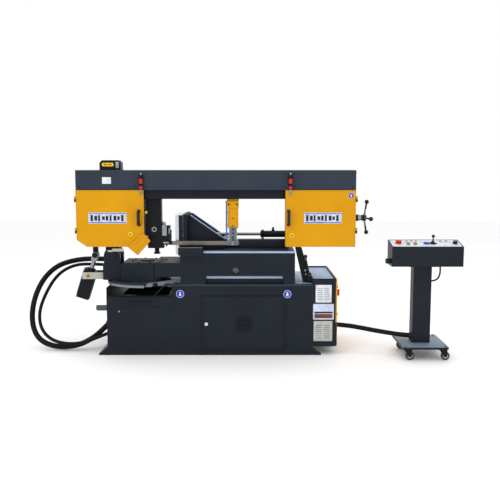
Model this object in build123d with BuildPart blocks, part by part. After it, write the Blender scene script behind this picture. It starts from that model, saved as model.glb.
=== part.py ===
from build123d import *

import os
from math import atan2, cos, hypot, pi, radians, sin, tan

# Horizontal band saw whose bow lifts on a post and swivels on a turntable, with a separate control desk.
# Millimetres, +Z up, -Y towards the operator. The origin is on the floor under the middle of the base.

# base cabinet
BASE_X, BASE_Y, BASE_TOP = 890, 380, 625
WALL, FLOOR = 6, 10
TRAY_END = -315
TRAY_RIM, TRAY_FRONT_RIM = 595, 518
SKIRT_TOP, SKIRT_REACH = 76, 80
ANCHOR_X, ANCHOR_Y, ANCHOR_RADIUS = 850, 340, 9
DOOR_X, DOOR_Z = (-65, 646), (48, 523)
DOOR_HINGE = (655, -392)
DRAWER_X, DRAWER_Z = (-866, -339), (434, 509)

# bed and vise
BED_X, BED_Y, BED_TOP = (-250, 737), (-380, 300), 905
RECESS_X, RECESS_Z = (-32, 640), (625, 697)
JAW_Y, JAW_TOP = (-180, 200), 1206
MOVING_JAW_X = (-238, -205)
RAIL_Y, RAIL_TOP = (-20, 60), 975
VISE_AXIS = (20, 1022)

# swivel head
SWIVEL = (-550, -217)
ARM_RADIUS, ARM_Z = 170, (645.3, 811)
ARM_WIDTH, ARM_GAP = 330, 4
NECK_Z = (689, 811)
BLADE_Y = -220
PIVOT = (-846, 865)
PIVOT_RADIUS = 25
TRUNNION, CLEVIS = (-1065, 684), (-1007, 861)
CLEVIS_CLEARANCE = 9
RUNNING = 0.05

# bow
BEAM_X, BEAM_Y, BEAM_Z = (-1141, 1257), (-330, -110), (1432, 1602)
LEFT_DOOR_X, RIGHT_DOOR_X, BOW_DOOR_BOTTOM = (-1141, -560), (654, 1257), 945
HOUSING_Y = (-320, -100)
WHEEL_RADIUS, WHEEL_Z, BAND_WIDTH, BAND_THICKNESS = 220, 1188, 34, 2
WHEEL_X = {"drive_wheel": -850, "idler_wheel": 955}
BAND_STRAIGHT, BAND_CENTRE = (-545, 252), 966

# control desk and electrics cabinet
DESK_X, DESK_Y, DESK_BOTTOM, DESK_FRONT, DESK_BACK = (1548, 2152), (-480, -280), 792, 958, 999
COLUMN_X, COLUMN_Y = (1750, 1905), (-411, -300)
STAND_X, STAND_Y, STAND_Z = (1639, 2029), (-577, -111), (100, 118)
CASTER_RADIUS, CASTER_TRAIL = 37, 24
CABINET_X, CABINET_Y, CABINET_Z = (890, 1090), (-380, 387), (77, 672)
CABINET_DOOR_BOTTOM = 290
CABINET_HINGE = (1104, 394)

# hoses and cables: diameter, route
ROUTES = {
    "main_hose": (48, [(-930, 300, 750), (-1147, 298, 761), (-1317, 268, 749), (-1461, 205, 708),
                       (-1562, 120, 612), (-1617, 25, 482), (-1634, -65, 341), (-1616, -130, 206),
                       (-1556, -180, 101), (-1447, -205, 42), (-1320, -210, 27), (-1190, -208, 42),
                       (-1070, -206, 98), (-978, -205, 172), (-912, -205, 240)]),
    "return_hose": (30, [(-930, 240, 704), (-1125, 238, 714), (-1269, 212, 717), (-1380, 152, 680),
                         (-1459, 68, 603), (-1511, -28, 489), (-1544, -118, 369), (-1537, -185, 253),
                         (-1483, -232, 156), (-1391, -250, 91), (-1270, -252, 66), (-1150, -254, 74),
                         (-1035, -256, 112), (-902, -258, 168)]),
    "desk_conduit": (42, [(1109, -200, 232), (1230, -202, 222), (1346, -216, 204), (1470, -250, 186),
                          (1594, -300, 176), (1670, -335, 172), (1737, -358, 172)]),
    "desk_lead": (14, [(1985, -370, 787), (1989, -368, 742), (1985, -364, 700), (1968, -360, 668),
                       (1938, -357, 652), (1911, -356, 651)]),
}


def block(x, y, z, mode=Mode.ADD):
    """A box from its low and high corner along each axis."""
    with Locations(((x[0] + x[1]) / 2, (y[0] + y[1]) / 2, (z[0] + z[1]) / 2)):
        Box(x[1] - x[0], y[1] - y[0], z[1] - z[0], mode=mode)


def barrel(start, end, radius, mode=Mode.ADD):
    """A round bar between two points."""
    axis = Vector(*end) - Vector(*start)
    with Locations(Plane(origin=start, z_dir=axis)):
        Cylinder(radius, axis.length, align=(Align.CENTER, Align.CENTER, Align.MIN), mode=mode)


def hinge_knuckles(x, y, heights, moving):
    """Lift-off hinges on a vertical line: the fixed half carries the pin, the moving half the bore."""
    for z in heights:
        if moving:
            barrel((x, y, z + 25.5), (x, y, z + 50), 7)
            barrel((x, y, z + 20), (x, y, z + 55), 3.5 + RUNNING, Mode.SUBTRACT)
        else:
            barrel((x, y, z), (x, y, z + 25), 7)
            barrel((x, y, z), (x, y, z + 48), 3.5)


pieces = {}

# ---------------------------------------------------------------- base
with BuildPart() as base_cabinet:
    block((-BASE_X, BASE_X), (-BASE_Y, BASE_Y), (0, BASE_TOP))
    inside_y = (-BASE_Y + WALL, BASE_Y - WALL)
    block((TRAY_END, BASE_X - WALL), inside_y, (FLOOR, BASE_TOP - WALL), Mode.SUBTRACT)
    block((-BASE_X + WALL, TRAY_END - WALL), inside_y, (FLOOR, BASE_TOP), Mode.SUBTRACT)
    block((-BASE_X, TRAY_END - WALL), (-BASE_Y, BASE_Y), (TRAY_RIM, BASE_TOP), Mode.SUBTRACT)
    block((-BASE_X + WALL, TRAY_END - WALL), (-BASE_Y, 0), (TRAY_FRONT_RIM, BASE_TOP), Mode.SUBTRACT)
    front = (-BASE_Y, -BASE_Y + WALL)
    block((DOOR_X[0] + 15, DOOR_X[1] - 15), front, (DOOR_Z[0] + 15, DOOR_Z[1] - 15), Mode.SUBTRACT)
    block((DRAWER_X[0] - 2, DRAWER_X[1] + 2), front, (DRAWER_Z[0] - 2, DRAWER_Z[1] + 2), Mode.SUBTRACT)
    with BuildSketch(Plane.XZ.offset(BASE_Y)):
        for side in (-1, 1):
            with BuildLine():
                Polyline((side * BASE_X, SKIRT_TOP), (side * (BASE_X + SKIRT_REACH), 8),
                         (side * (BASE_X + SKIRT_REACH), 0), (side * BASE_X, 0), close=True)
            make_face()
    extrude(amount=-2 * BASE_Y)
    skirt_ends = base_cabinet.edges().filter_by(Axis.Z).group_by(Axis.X)
    fillet(skirt_ends[0] + skirt_ends[-1], radius=6)
    with BuildSketch():
        with GridLocations(2 * ANCHOR_X, 2 * ANCHOR_Y, 2, 2):
            Circle(ANCHOR_RADIUS)
    extrude(amount=FLOOR, mode=Mode.SUBTRACT)
    for z in (70, 400):
        block((DOOR_HINGE[0] - 3, DOOR_HINGE[0] + 15), (-388, -BASE_Y), (z, z + 25))
    hinge_knuckles(*DOOR_HINGE, (70, 400), moving=False)
pieces["base_cabinet"] = base_cabinet

CHIP_HOLE_X, CHIP_HOLE_Y = (-760, -360), (-330, 60)
with BuildPart() as chip_tray:
    block((-BASE_X + WALL, TRAY_END - WALL), inside_y, (519, 525))
    block(CHIP_HOLE_X, CHIP_HOLE_Y, (519, 525), Mode.SUBTRACT)
    with BuildSketch(Plane.XZ.offset(372)):
        with BuildLine():
            Polyline((-486, 525), (-384, 623), (-326, 623), (-326, 612), (-380, 612), (-470, 525), close=True)
        make_face()
    extrude(amount=-40)
    with BuildSketch(Plane.YZ.offset(-640)):
        with BuildLine():
            Polyline((64, 525), (64, 586), (-100, 586), (-332, 525), (-345, 525), (-102, 589), (68, 589),
                     (68, 525), close=True)
        make_face()
    extrude(amount=230)
pieces["chip_tray"] = chip_tray

with BuildPart() as chip_drawer:
    block(DRAWER_X, (-374, 100), DRAWER_Z)
    block((DRAWER_X[0] + 3, DRAWER_X[1] - 3), (-371, 97), (DRAWER_Z[0] + 3, DRAWER_Z[1]), Mode.SUBTRACT)
    block((-890, -315), (-384, -381), (425, 517))
    block(DRAWER_X, (-381, -374), (DRAWER_Z[0], DRAWER_Z[0] + 8))
    block((-700, -500), (-400, -384), (468, 474))
pieces["chip_drawer"] = chip_drawer

with BuildPart() as base_door:
    block(DOOR_X, (-392, -381), DOOR_Z)
    block((DOOR_X[0] + 3, DOOR_X[1] - 3), (-389, -381), (DOOR_Z[0] + 3, DOOR_Z[1] - 3), Mode.SUBTRACT)
    for z in (70, 400):
        block((DOOR_X[1] - 2, DOOR_HINGE[0]), (-395, -389), (z + 25.5, z + 50))
    hinge_knuckles(*DOOR_HINGE, (70, 400), moving=True)
    with BuildSketch(Plane.XZ.offset(389)):
        with Locations((297, 276)):
            Circle(78)
            for rise in range(-60, 61, 15):
                with Locations((0, rise)):
                    SlotOverall(2 * (70 ** 2 - rise ** 2) ** 0.5, 6, mode=Mode.SUBTRACT)
    extrude(amount=5)
    with BuildSketch(Plane.XZ.offset(380)):
        for rise in range(-60, 61, 15):
            with Locations((297, 276 + rise)):
                SlotOverall(2 * (70 ** 2 - rise ** 2) ** 0.5, 6)
        with Locations((-28, 279)):
            Circle(6.05)
    extrude(amount=20, mode=Mode.SUBTRACT)
pieces["base_door"] = base_door

with BuildPart() as base_lock:
    barrel((-28, -400, 279), (-28, -392.3, 279), 15)
    barrel((-28, -392.3, 279), (-28, -385, 279), 6)
    block((-30.5, -25.5), (-400, -398), (267, 291), Mode.SUBTRACT)
pieces["base_lock"] = base_lock

with BuildPart() as fluid_units:
    block((180, 560), (-60, 300), (FLOOR, 300))
    barrel((370, 120, 300), (370, 120, 560), 95)
    block((440, 540), (0, 240), (300, 380))
    block((640, 840), (-40, 280), (FLOOR, 250))
    barrel((740, 120, 250), (740, 120, 430), 60)
pieces["fluid_units"] = fluid_units

# ---------------------------------------------------------------- bed and vise
with BuildPart() as bed:
    block(BED_X, BED_Y, (BASE_TOP, BED_TOP))
    block((BED_X[0] + 25, BED_X[1] - 25), (BED_Y[0] + 60, BED_Y[1] - 25),
          (BASE_TOP, BED_TOP - 30), Mode.SUBTRACT)
    block(RECESS_X, (BED_Y[0], BED_Y[0] + 35), RECESS_Z, Mode.SUBTRACT)
    barrel((227, BED_Y[0], 740), (227, BED_Y[0] + 60, 740), 28, Mode.SUBTRACT)
    block((-470, BED_X[0]), (BED_Y[0], 45), NECK_Z)
    barrel((*SWIVEL, NECK_Z[0]), (*SWIVEL, NECK_Z[1]), ARM_RADIUS + ARM_GAP, Mode.SUBTRACT)
pieces["bed"] = bed

with BuildPart() as fixed_jaw:
    block((-308, BED_X[0]), JAW_Y, (860, JAW_TOP))
    block((-262, -58), (-408, -380), (878, 943))
    block((-262, -58), (-380, -350), (BED_TOP, 943))
pieces["fixed_jaw"] = fixed_jaw

with BuildPart() as vise_rail:
    block((-200, 700), RAIL_Y, (BED_TOP, RAIL_TOP))
    block((-180, 700), (10, 30), (955, RAIL_TOP), Mode.SUBTRACT)
    for x in (455, 680):
        block((x, x + 20), RAIL_Y, (RAIL_TOP, VISE_AXIS[1] - 20))
    barrel((455, *VISE_AXIS), (475, *VISE_AXIS), 40)
    barrel((680, *VISE_AXIS), (700, *VISE_AXIS), 40)
    for x in (455, 680):
        barrel((x, *VISE_AXIS), (x + 20, *VISE_AXIS), 30, Mode.SUBTRACT)
pieces["vise_rail"] = vise_rail

with BuildPart() as vise_cylinder:
    barrel((445, *VISE_AXIS), (880, *VISE_AXIS), 30)
    barrel((445, *VISE_AXIS), (870, *VISE_AXIS), 14 + RUNNING, Mode.SUBTRACT)
    for x in (560, 850):
        barrel((x, VISE_AXIS[0], VISE_AXIS[1] + 24), (x, VISE_AXIS[0], VISE_AXIS[1] + 62), 10)
pieces["vise_cylinder"] = vise_cylinder

with BuildPart() as moving_jaw:
    block(MOVING_JAW_X, JAW_Y, (BED_TOP + 0.5, 1214))
    block((MOVING_JAW_X[1], 130), (-110, 150), (BED_TOP + 0.5, 988))
    for y in (-110, 130):
        with BuildSketch(Plane.XZ.offset(-y)):
            with BuildLine():
                Polyline((-206, 1205), (-180, 1205), (130, 988), (-206, 980), close=True)
            make_face()
        extrude(amount=-20)
    block((MOVING_JAW_X[0], 130), (RAIL_Y[0] - 1, RAIL_Y[1] + 1), (BED_TOP, RAIL_TOP + 1), Mode.SUBTRACT)
pieces["moving_jaw"] = moving_jaw

with BuildPart() as jaw_rod:
    barrel((MOVING_JAW_X[1], *VISE_AXIS), (505, *VISE_AXIS), 14)
    barrel((MOVING_JAW_X[1], *VISE_AXIS), (MOVING_JAW_X[1] + 18, *VISE_AXIS), 30)
pieces["jaw_rod"] = jaw_rod

# ---------------------------------------------------------------- swivel head
with BuildPart() as turntable:
    with BuildSketch(Plane.XY.offset(BASE_TOP)):
        with Locations(SWIVEL):
            Circle(350)
        with Locations((-380, -460)):
            Rectangle(310, 320, mode=Mode.SUBTRACT)
        with Locations((-225, 0)):
            Rectangle(60, 900, mode=Mode.SUBTRACT)
    extrude(amount=20)
    block((-BASE_X + WALL, TRAY_END - WALL), (-262, -172), (590, BASE_TOP))
    barrel((*SWIVEL, 590), (*SWIVEL, BASE_TOP), 100)
    barrel((*SWIVEL, 580), (*SWIVEL, 660), 40 + RUNNING, Mode.SUBTRACT)
pieces["turntable"] = turntable

with BuildPart() as swivel_arm:
    with BuildSketch(Plane.XY.offset(ARM_Z[0] + 8)):
        with Locations(SWIVEL):
            Circle(ARM_RADIUS)
        with Locations((-653.5, SWIVEL[1])):
            Rectangle(207, ARM_WIDTH)
    extrude(amount=ARM_Z[1] - ARM_Z[0] - 8)
    top_rim = swivel_arm.faces().sort_by(Axis.Z)[-1].edges()
    chamfer(top_rim, length=12)
    barrel((*SWIVEL, ARM_Z[0]), (*SWIVEL, ARM_Z[0] + 9), 200)
    barrel((*SWIVEL, 595), (*SWIVEL, ARM_Z[0] + 1), 40)
pieces["swivel_arm"] = swivel_arm

with BuildPart() as pivot_post:
    block((-926, -757), (-320, -114), (653.3, 790))
    for y in (-320, -154):
        with BuildSketch(Plane.XZ.offset(-y)):
            with Locations(PIVOT):
                Circle(70)
            with Locations((PIVOT[0], 820)):
                Rectangle(140, 80)
        extrude(amount=-40)
    barrel((PIVOT[0], -330, PIVOT[1]), (PIVOT[0], -104, PIVOT[1]), PIVOT_RADIUS)
    barrel((PIVOT[0], -332, PIVOT[1]), (PIVOT[0], -320, PIVOT[1]), 38)
    for y in (-286, -168):
        block((-1115, -926), (y, y + 20), (656, 715))
        barrel((TRUNNION[0], y - 1, TRUNNION[1]), (TRUNNION[0], y + 21, TRUNNION[1]),
               14 + RUNNING, Mode.SUBTRACT)
    block((-946, -926), (-286, -148), (656, 715))
pieces["pivot_post"] = pivot_post

stroke_x, stroke_z = CLEVIS[0] - TRUNNION[0], CLEVIS[1] - TRUNNION[1]
CYLINDER_LENGTH = hypot(stroke_x, stroke_z)
cylinder_axis = Vector(stroke_x, 0, stroke_z).normalized()


def along(distance, y=-217):
    """A point on the lift cylinder's axis, this far from the trunnion."""
    point = Vector(TRUNNION[0], y, TRUNNION[1]) + cylinder_axis * distance
    return (point.X, point.Y, point.Z)


def cylinder_plane(distance):
    """The plane across the lift cylinder, this far from the trunnion."""
    return Plane(origin=along(distance), x_dir=(0, 1, 0), z_dir=cylinder_axis)


with BuildPart() as lift_cylinder:
    with BuildSketch(cylinder_plane(-215)):
        RectangleRounded(90, 112, 10)
    extrude(amount=265)
    with BuildSketch(cylinder_plane(50)):
        Circle(34)
    extrude(amount=12)
    barrel((TRUNNION[0], -285, TRUNNION[1]), (TRUNNION[0], -149, TRUNNION[1]), 14)
    barrel(along(-110), along(70), 18 + RUNNING, Mode.SUBTRACT)
pieces["lift_cylinder"] = lift_cylinder

with BuildPart() as lift_rod:
    barrel(along(-30), along(CYLINDER_LENGTH - 40), 18)
    with BuildSketch(cylinder_plane(CYLINDER_LENGTH - 48)):
        Rectangle(72, 48)
    extrude(amount=12)
    for y in (-253, -201):
        with BuildSketch(cylinder_plane(CYLINDER_LENGTH - 48)):
            with Locations((y + 10 + 217, 0)):
                Rectangle(20, 48)
        extrude(amount=48)
        barrel((CLEVIS[0], y, CLEVIS[1]), (CLEVIS[0], y + 20, CLEVIS[1]), 28)
    barrel((CLEVIS[0], -260, CLEVIS[1]), (CLEVIS[0], -170, CLEVIS[1]), 8 + CLEVIS_CLEARANCE, Mode.SUBTRACT)
pieces["lift_rod"] = lift_rod

# ---------------------------------------------------------------- bow
with BuildPart() as bow_beam:
    block(BEAM_X, BEAM_Y, BEAM_Z)
    block((BEAM_X[0] + 8, BEAM_X[1] - 8), (BEAM_Y[0] + 8, BEAM_Y[1] - 8),
          (BEAM_Z[0] + 8, BEAM_Z[1] - 8), Mode.SUBTRACT)
    barrel((BEAM_X[0] - 1, -220, 1517), (BEAM_X[0] + 9, -220, 1517), 30, Mode.SUBTRACT)
    long_edges = bow_beam.edges().filter_by(Axis.X).filter_by_position(Axis.Z, 1601, 1603)
    fillet(long_edges, radius=6)
pieces["bow_beam"] = bow_beam

with BuildPart() as blade_channel:
    block((-560, 654), (-300, -130), (1355, BEAM_Z[0]))
    block((-560, 654), (-294, -136), (1355, BEAM_Z[0] - 6), Mode.SUBTRACT)
    block((-550, 644), (-160, -136), (1362, 1392))
pieces["blade_channel"] = blade_channel

with BuildPart() as left_housing:
    shell = (6, HOUSING_Y, Mode.ADD)
    hollow = (12, (HOUSING_Y[0], HOUSING_Y[1] - WALL), Mode.SUBTRACT)
    for inset, y, mode in (shell, hollow):
        with BuildSketch(Plane.XZ.offset(-y[0])):
            x0, x1 = LEFT_DOOR_X[0] + inset, LEFT_DOOR_X[1] - inset
            z0, z1 = BOW_DOOR_BOTTOM + inset, BEAM_Z[0] - inset + 6
            with BuildLine():
                Polyline((x0, z1), (x1, z1), (x1, z0), (x0 + 84, z0), (x0, z0 + 58), close=True)
            make_face()
        extrude(amount=y[0] - y[1], mode=mode)
    block((-730, -560), (-262, -178), (940, 1010), Mode.SUBTRACT)
    block((-580, -560), (-262, -178), (1390, 1425), Mode.SUBTRACT)
    barrel((WHEEL_X["drive_wheel"], -110, WHEEL_Z), (WHEEL_X["drive_wheel"], -95, WHEEL_Z), 32, Mode.SUBTRACT)
    for y in (-279.5, -194.5):
        block((-906, -786), (y, y + 40), (PIVOT[1], 951))
        barrel((PIVOT[0], y, PIVOT[1]), (PIVOT[0], y + 40, PIVOT[1]), 60)
    barrel((PIVOT[0], -290, PIVOT[1]), (PIVOT[0], -150, PIVOT[1]), PIVOT_RADIUS + RUNNING, Mode.SUBTRACT)
    block((CLEVIS[0] - 22, CLEVIS[0] + 22), (-229, -205), (CLEVIS[1], 951))
    barrel((CLEVIS[0], -229, CLEVIS[1]), (CLEVIS[0], -205, CLEVIS[1]), 22)
    barrel((CLEVIS[0], -262, CLEVIS[1]), (CLEVIS[0], -172, CLEVIS[1]), 8)
    for y in (-262, -178):
        barrel((CLEVIS[0], y, CLEVIS[1]), (CLEVIS[0], y + 6, CLEVIS[1]), 24)
    for z in (1060, 1330):
        block((-1155, -1145), (-330, -300), (z, z + 25))
        block((-1155, -1134), (-308, -300), (z, z + 25))
    hinge_knuckles(-1150, -332, (1060, 1330), moving=False)
pieces["left_housing"] = left_housing

with BuildPart() as right_housing:
    block((660, 1251), HOUSING_Y, (951, BEAM_Z[0]))
    block((666, 1245), (HOUSING_Y[0], HOUSING_Y[1] - WALL), (957, BEAM_Z[0] - 6), Mode.SUBTRACT)
    block((655, 800), (-262, -178), (940, 1010), Mode.SUBTRACT)
    block((655, 670), (-262, -178), (1390, 1425), Mode.SUBTRACT)
    block((905, 1005), (-186, -106), (1138, 1238))
    barrel((WHEEL_X["idler_wheel"], -190, WHEEL_Z), (WHEEL_X["idler_wheel"], -100, WHEEL_Z),
           25 + RUNNING, Mode.SUBTRACT)
    barrel((1245, BLADE_Y, WHEEL_Z), (1290, BLADE_Y, WHEEL_Z), 30)
    barrel((1240, BLADE_Y, WHEEL_Z), (1300, BLADE_Y, WHEEL_Z), 14 + RUNNING, Mode.SUBTRACT)
    for z in (1060, 1330):
        block((1261, 1271), (-330, -300), (z, z + 25))
        block((1250, 1271), (-308, -300), (z, z + 25))
    hinge_knuckles(1266, -332, (1060, 1330), moving=False)
pieces["right_housing"] = right_housing

with BuildPart() as drive_unit:
    block((-960, -740), (-100, 40), (1078, 1298))
    barrel((WHEEL_X["drive_wheel"], -101, WHEEL_Z), (WHEEL_X["drive_wheel"], 20, WHEEL_Z),
           25 + RUNNING, Mode.SUBTRACT)
    barrel((-850, 40, 1215), (-850, 190, 1215), 88)
    block((-900, -800), (60, 150), (1295, 1335))
    chamfer(drive_unit.faces().filter_by(Axis.X).edges().filter_by(Axis.Y), length=12)
pieces["drive_unit"] = drive_unit

for name, x in WHEEL_X.items():
    with BuildPart() as wheel:
        with BuildSketch(Plane(origin=(x, BLADE_Y + 20, WHEEL_Z), z_dir=(0, -1, 0))):
            Circle(WHEEL_RADIUS)
        extrude(amount=40)
        for y in (BLADE_Y + 5, BLADE_Y - 21):
            with BuildSketch(Plane(origin=(x, y + 15, WHEEL_Z), z_dir=(0, -1, 0))):
                Circle(WHEEL_RADIUS - 26)
                Circle(52, mode=Mode.SUBTRACT)
            extrude(amount=14, mode=Mode.SUBTRACT)
        with BuildSketch(Plane(origin=(x, BLADE_Y + 20, WHEEL_Z), z_dir=(0, -1, 0))):
            with PolarLocations(122, 6):
                Circle(38)
        extrude(amount=40, mode=Mode.SUBTRACT)
        barrel((x, BLADE_Y - 28, WHEEL_Z), (x, -110 if name == "idler_wheel" else 10, WHEEL_Z), 25)
    pieces[name] = wheel

band_gap = 0.3
lower_run, upper_run = WHEEL_Z - WHEEL_RADIUS - band_gap - 1, WHEEL_Z + WHEEL_RADIUS + band_gap + 1
with BuildPart() as blade:
    with BuildSketch(Plane.XZ.offset(-BLADE_Y + BAND_WIDTH / 2)):
        left, right = WHEEL_X["drive_wheel"], WHEEL_X["idler_wheel"]
        outer = WHEEL_RADIUS + band_gap + BAND_THICKNESS
        for x in (left, right):
            with Locations((x, WHEEL_Z)):
                Circle(outer)
        with Locations(((left + right) / 2, WHEEL_Z)):
            Rectangle(right - left, 2 * outer)
            Rectangle(right - left, 2 * outer - 2 * BAND_THICKNESS, mode=Mode.SUBTRACT)
        for x in (left, right):
            with Locations((x, WHEEL_Z)):
                Circle(outer - BAND_THICKNESS, mode=Mode.SUBTRACT)
    extrude(amount=-BAND_WIDTH)
    block((left + 60, right - 60), (-300, -100), (lower_run - 5, lower_run + 5), Mode.SUBTRACT)
    for x0, x1 in ((left + 60, BAND_STRAIGHT[0]), (right - 60, BAND_STRAIGHT[1])):
        for step in range(7):
            turn = 90 * step / 6
            x = x0 + (x1 - x0) * step / 6
            z = lower_run + (BAND_CENTRE - lower_run) * step / 6
            with BuildSketch(Plane(origin=(x, BLADE_Y, z), x_dir=(0, cos(radians(turn)), sin(radians(turn))),
                                   z_dir=(1, 0, 0))):
                Rectangle(BAND_WIDTH, BAND_THICKNESS)
        loft(ruled=True)
    block(BAND_STRAIGHT, (BLADE_Y - 1, BLADE_Y + 1),
          (BAND_CENTRE - BAND_WIDTH / 2, BAND_CENTRE + BAND_WIDTH / 2))
pieces["blade"] = blade

with BuildPart() as left_guide:
    block((-556, -420), (-262, -178), (1150, 1355))
    block((-556, -410), (-268, -172), (1035, 1150))
    block((-540, -404), (-262, BLADE_Y - 3), (925, 1035))
    block((-540, -404), (BLADE_Y + 3, -178), (925, 1035))
    block((-404, -350), (-262, BLADE_Y - 3), (960, 1120))
    block((-404, -350), (BLADE_Y + 3, -178), (960, 1120))
    barrel((-470, BLADE_Y + 25, 880), (-470, BLADE_Y + 25, 925), 20)
pieces["left_guide"] = left_guide

with BuildPart() as guide_arm:
    block((155, 248), (-262, -178), (1100, 1345))
    block((150, 253), (-262, -162), (1340, 1352))
    block((150, 253), (-200, -162), (1345, 1398))
    with BuildSketch(Plane.XZ.offset(262)):
        with Locations((201, 1184), (201, 1122)):
            Circle(8)
    extrude(amount=-12, mode=Mode.SUBTRACT)
    front_edges = guide_arm.edges().filter_by(Axis.Z).filter_by_position(Axis.Y, -263, -261)
    chamfer(front_edges.filter_by_position(Axis.Z, 1200, 1240), length=6)
pieces["guide_arm"] = guide_arm

with BuildPart() as guide_block:
    block((166, 236), (-262, -178), (1000, 1100))
    for y in ((-262, BLADE_Y - 3), (BLADE_Y + 3, -178)):
        block((150, 246), y, (950, 1000))
    barrel((170, BLADE_Y - 26, 1020), (120, BLADE_Y - 26, 1020), 8)
pieces["guide_block"] = guide_block

with BuildPart() as bow_boxes:
    for x in (-596, 678):
        block((x, x + 34), (-352, -331), (1438, 1560))
        block((x + 12, x + 22), (-350, -342), (1395, 1438))
    block((-946, -756), (-290, -160), (1602, 1606))
    block((-942, -760), (-280, -170), (1606, 1686))
    chamfer(bow_boxes.edges().filter_by(Axis.Y).filter_by_position(Axis.Z, 1685, 1687), length=22)
pieces["bow_boxes"] = bow_boxes

# ---------------------------------------------------------------- bow doors
DOOR_FRONT, DOOR_REAR = -340, -321
left_outline = [(-1141, 1431), (-560, 1431), (-560, 945), (-1055, 945), (-1141, 1005)]
right_outline = [(654, 1431), (1257, 1431), (1257, 945), (654, 945)]
for name, outline, hinge_x in (("left_door", left_outline, -1150), ("right_door", right_outline, 1266)):
    inward = 1 if hinge_x < 0 else -1
    with BuildPart() as bow_door:
        with BuildSketch(Plane.XZ.offset(-DOOR_FRONT)):
            with BuildLine():
                Polyline(*outline, close=True)
            make_face()
        extrude(amount=DOOR_FRONT - DOOR_REAR)
        with BuildSketch(Plane.XZ.offset(-DOOR_FRONT - 3)):
            with BuildLine():
                Polyline(*outline, close=True)
            make_face()
            offset(amount=-4, mode=Mode.REPLACE, kind=Kind.INTERSECTION)
        extrude(amount=DOOR_FRONT - DOOR_REAR + 3, mode=Mode.SUBTRACT)
        for z in (1060, 1330):
            near, far = sorted((hinge_x, hinge_x + 11 * inward))
            block((near, far), (-336, -330), (z + 25.5, z + 50))
        hinge_knuckles(hinge_x, -332, (1060, 1330), moving=True)
        if name == "left_door":
            with BuildSketch(Plane.XZ.offset(-DOOR_FRONT)):
                with BuildLine():
                    Polyline((-562, 1063), (-505, 998), (-614, 873), (-702, 948), close=True)
                make_face()
            extrude(amount=22)
    pieces[name] = bow_door

for name, x in (("left_handle", -602), ("right_handle", 681)):
    with BuildPart() as handle:
        block((x - 8, x + 8), (-386, -370), (1128, 1262))
        for z in (1128, 1244):
            block((x - 8, x + 8), (-372, DOOR_FRONT), (z, z + 18))
        fillet(handle.edges().filter_by(Axis.X).filter_by_position(Axis.Y, -387, -385), radius=6)
    pieces[name] = handle

with BuildPart() as tension_handle:
    hub = (1345, BLADE_Y, WHEEL_Z)
    barrel((1248, BLADE_Y, WHEEL_Z), hub, 14)
    barrel((1291, BLADE_Y, WHEEL_Z), (1318, BLADE_Y, WHEEL_Z), 19)
    barrel((1325, BLADE_Y, WHEEL_Z), (1362, BLADE_Y, WHEEL_Z), 27)
    for turn in (60, 180, 300):
        y, z = cos(radians(turn)), sin(radians(turn))
        tip = (hub[0] + 36, hub[1] + 155 * y, hub[2] + 155 * z)
        barrel(hub, tip, 8)
        with Locations(tip):
            Sphere(19)
pieces["tension_handle"] = tension_handle

with BuildPart() as bow_rest:
    with BuildSketch(Plane.XZ.offset(300)):
        with BuildLine():
            Polyline((815, 625), (880, 625), (880, 650), (800, 930), (790, 941), (752, 941), (745, 925),
                     close=True)
        make_face()
    extrude(amount=-70)
    block((842, 882), (-334, -300), (625, 716))
pieces["bow_rest"] = bow_rest

# ---------------------------------------------------------------- valve lever
with BuildPart() as valve_lever:
    barrel((862, -350, 700), (830, -350, 850), 7)
    barrel((862, -360, 700), (862, -334.3, 700), 14)
    with Locations((828, -350, 862)):
        Sphere(17)
pieces["valve_lever"] = valve_lever

# ---------------------------------------------------------------- electrics cabinet
with BuildPart() as electrics_cabinet:
    block(CABINET_X, CABINET_Y, CABINET_Z)
    inner_y = (CABINET_Y[0] + 4, CABINET_Y[1] - 4)
    block((CABINET_X[0] + 4, CABINET_X[1]), inner_y, (CABINET_Z[0] + 4, 655), Mode.SUBTRACT)
    block((CABINET_X[0] + 4, CABINET_X[1] - 4), inner_y, (659, CABINET_Z[1]), Mode.SUBTRACT)
    block((CABINET_X[1], 1104), (CABINET_Y[0] + 2, CABINET_Y[1] - 2), (80, CABINET_DOOR_BOTTOM - 6))
    for z in (330, 580):
        block((1094, 1110), (388, 396), (z, z + 25))
        block((1086, 1098), (386, 396), (z, z + 25))
    hinge_knuckles(*CABINET_HINGE, (330, 580), moving=False)
pieces["electrics_cabinet"] = electrics_cabinet

with BuildPart() as switchgear:
    block((896, 900), (-340, 340), (100, 620))
    for z in (150, 330, 500):
        for y in (-320, -180, -40, 100, 240):
            block((900, 990), (y, y + 84), (z, z + 95))
pieces["switchgear"] = switchgear

with BuildPart() as cabinet_door:
    block((1092, 1104), (-378, 385), (CABINET_DOOR_BOTTOM, 669))
    block((1092, 1101), (-375, 382), (CABINET_DOOR_BOTTOM + 3, 666), Mode.SUBTRACT)
    for z in (330, 580):
        block((1098, 1104), (380, 388), (z + 25.5, z + 50))
    hinge_knuckles(*CABINET_HINGE, (330, 580), moving=True)
    barrel((1100, -330, 545), (1106, -330, 545), 6 + RUNNING, Mode.SUBTRACT)
pieces["cabinet_door"] = cabinet_door

with BuildPart() as main_switch:
    barrel((1096, -330, 545), (1108, -330, 545), 6)
    barrel((1104.5, -330, 545), (1112, -330, 545), 30)
    block((1112, 1128), (-336, -324), (517, 573))
pieces["main_switch"] = main_switch

# ---------------------------------------------------------------- control desk
slope = atan2(DESK_BACK - DESK_FRONT, DESK_Y[1] - DESK_Y[0])


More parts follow.
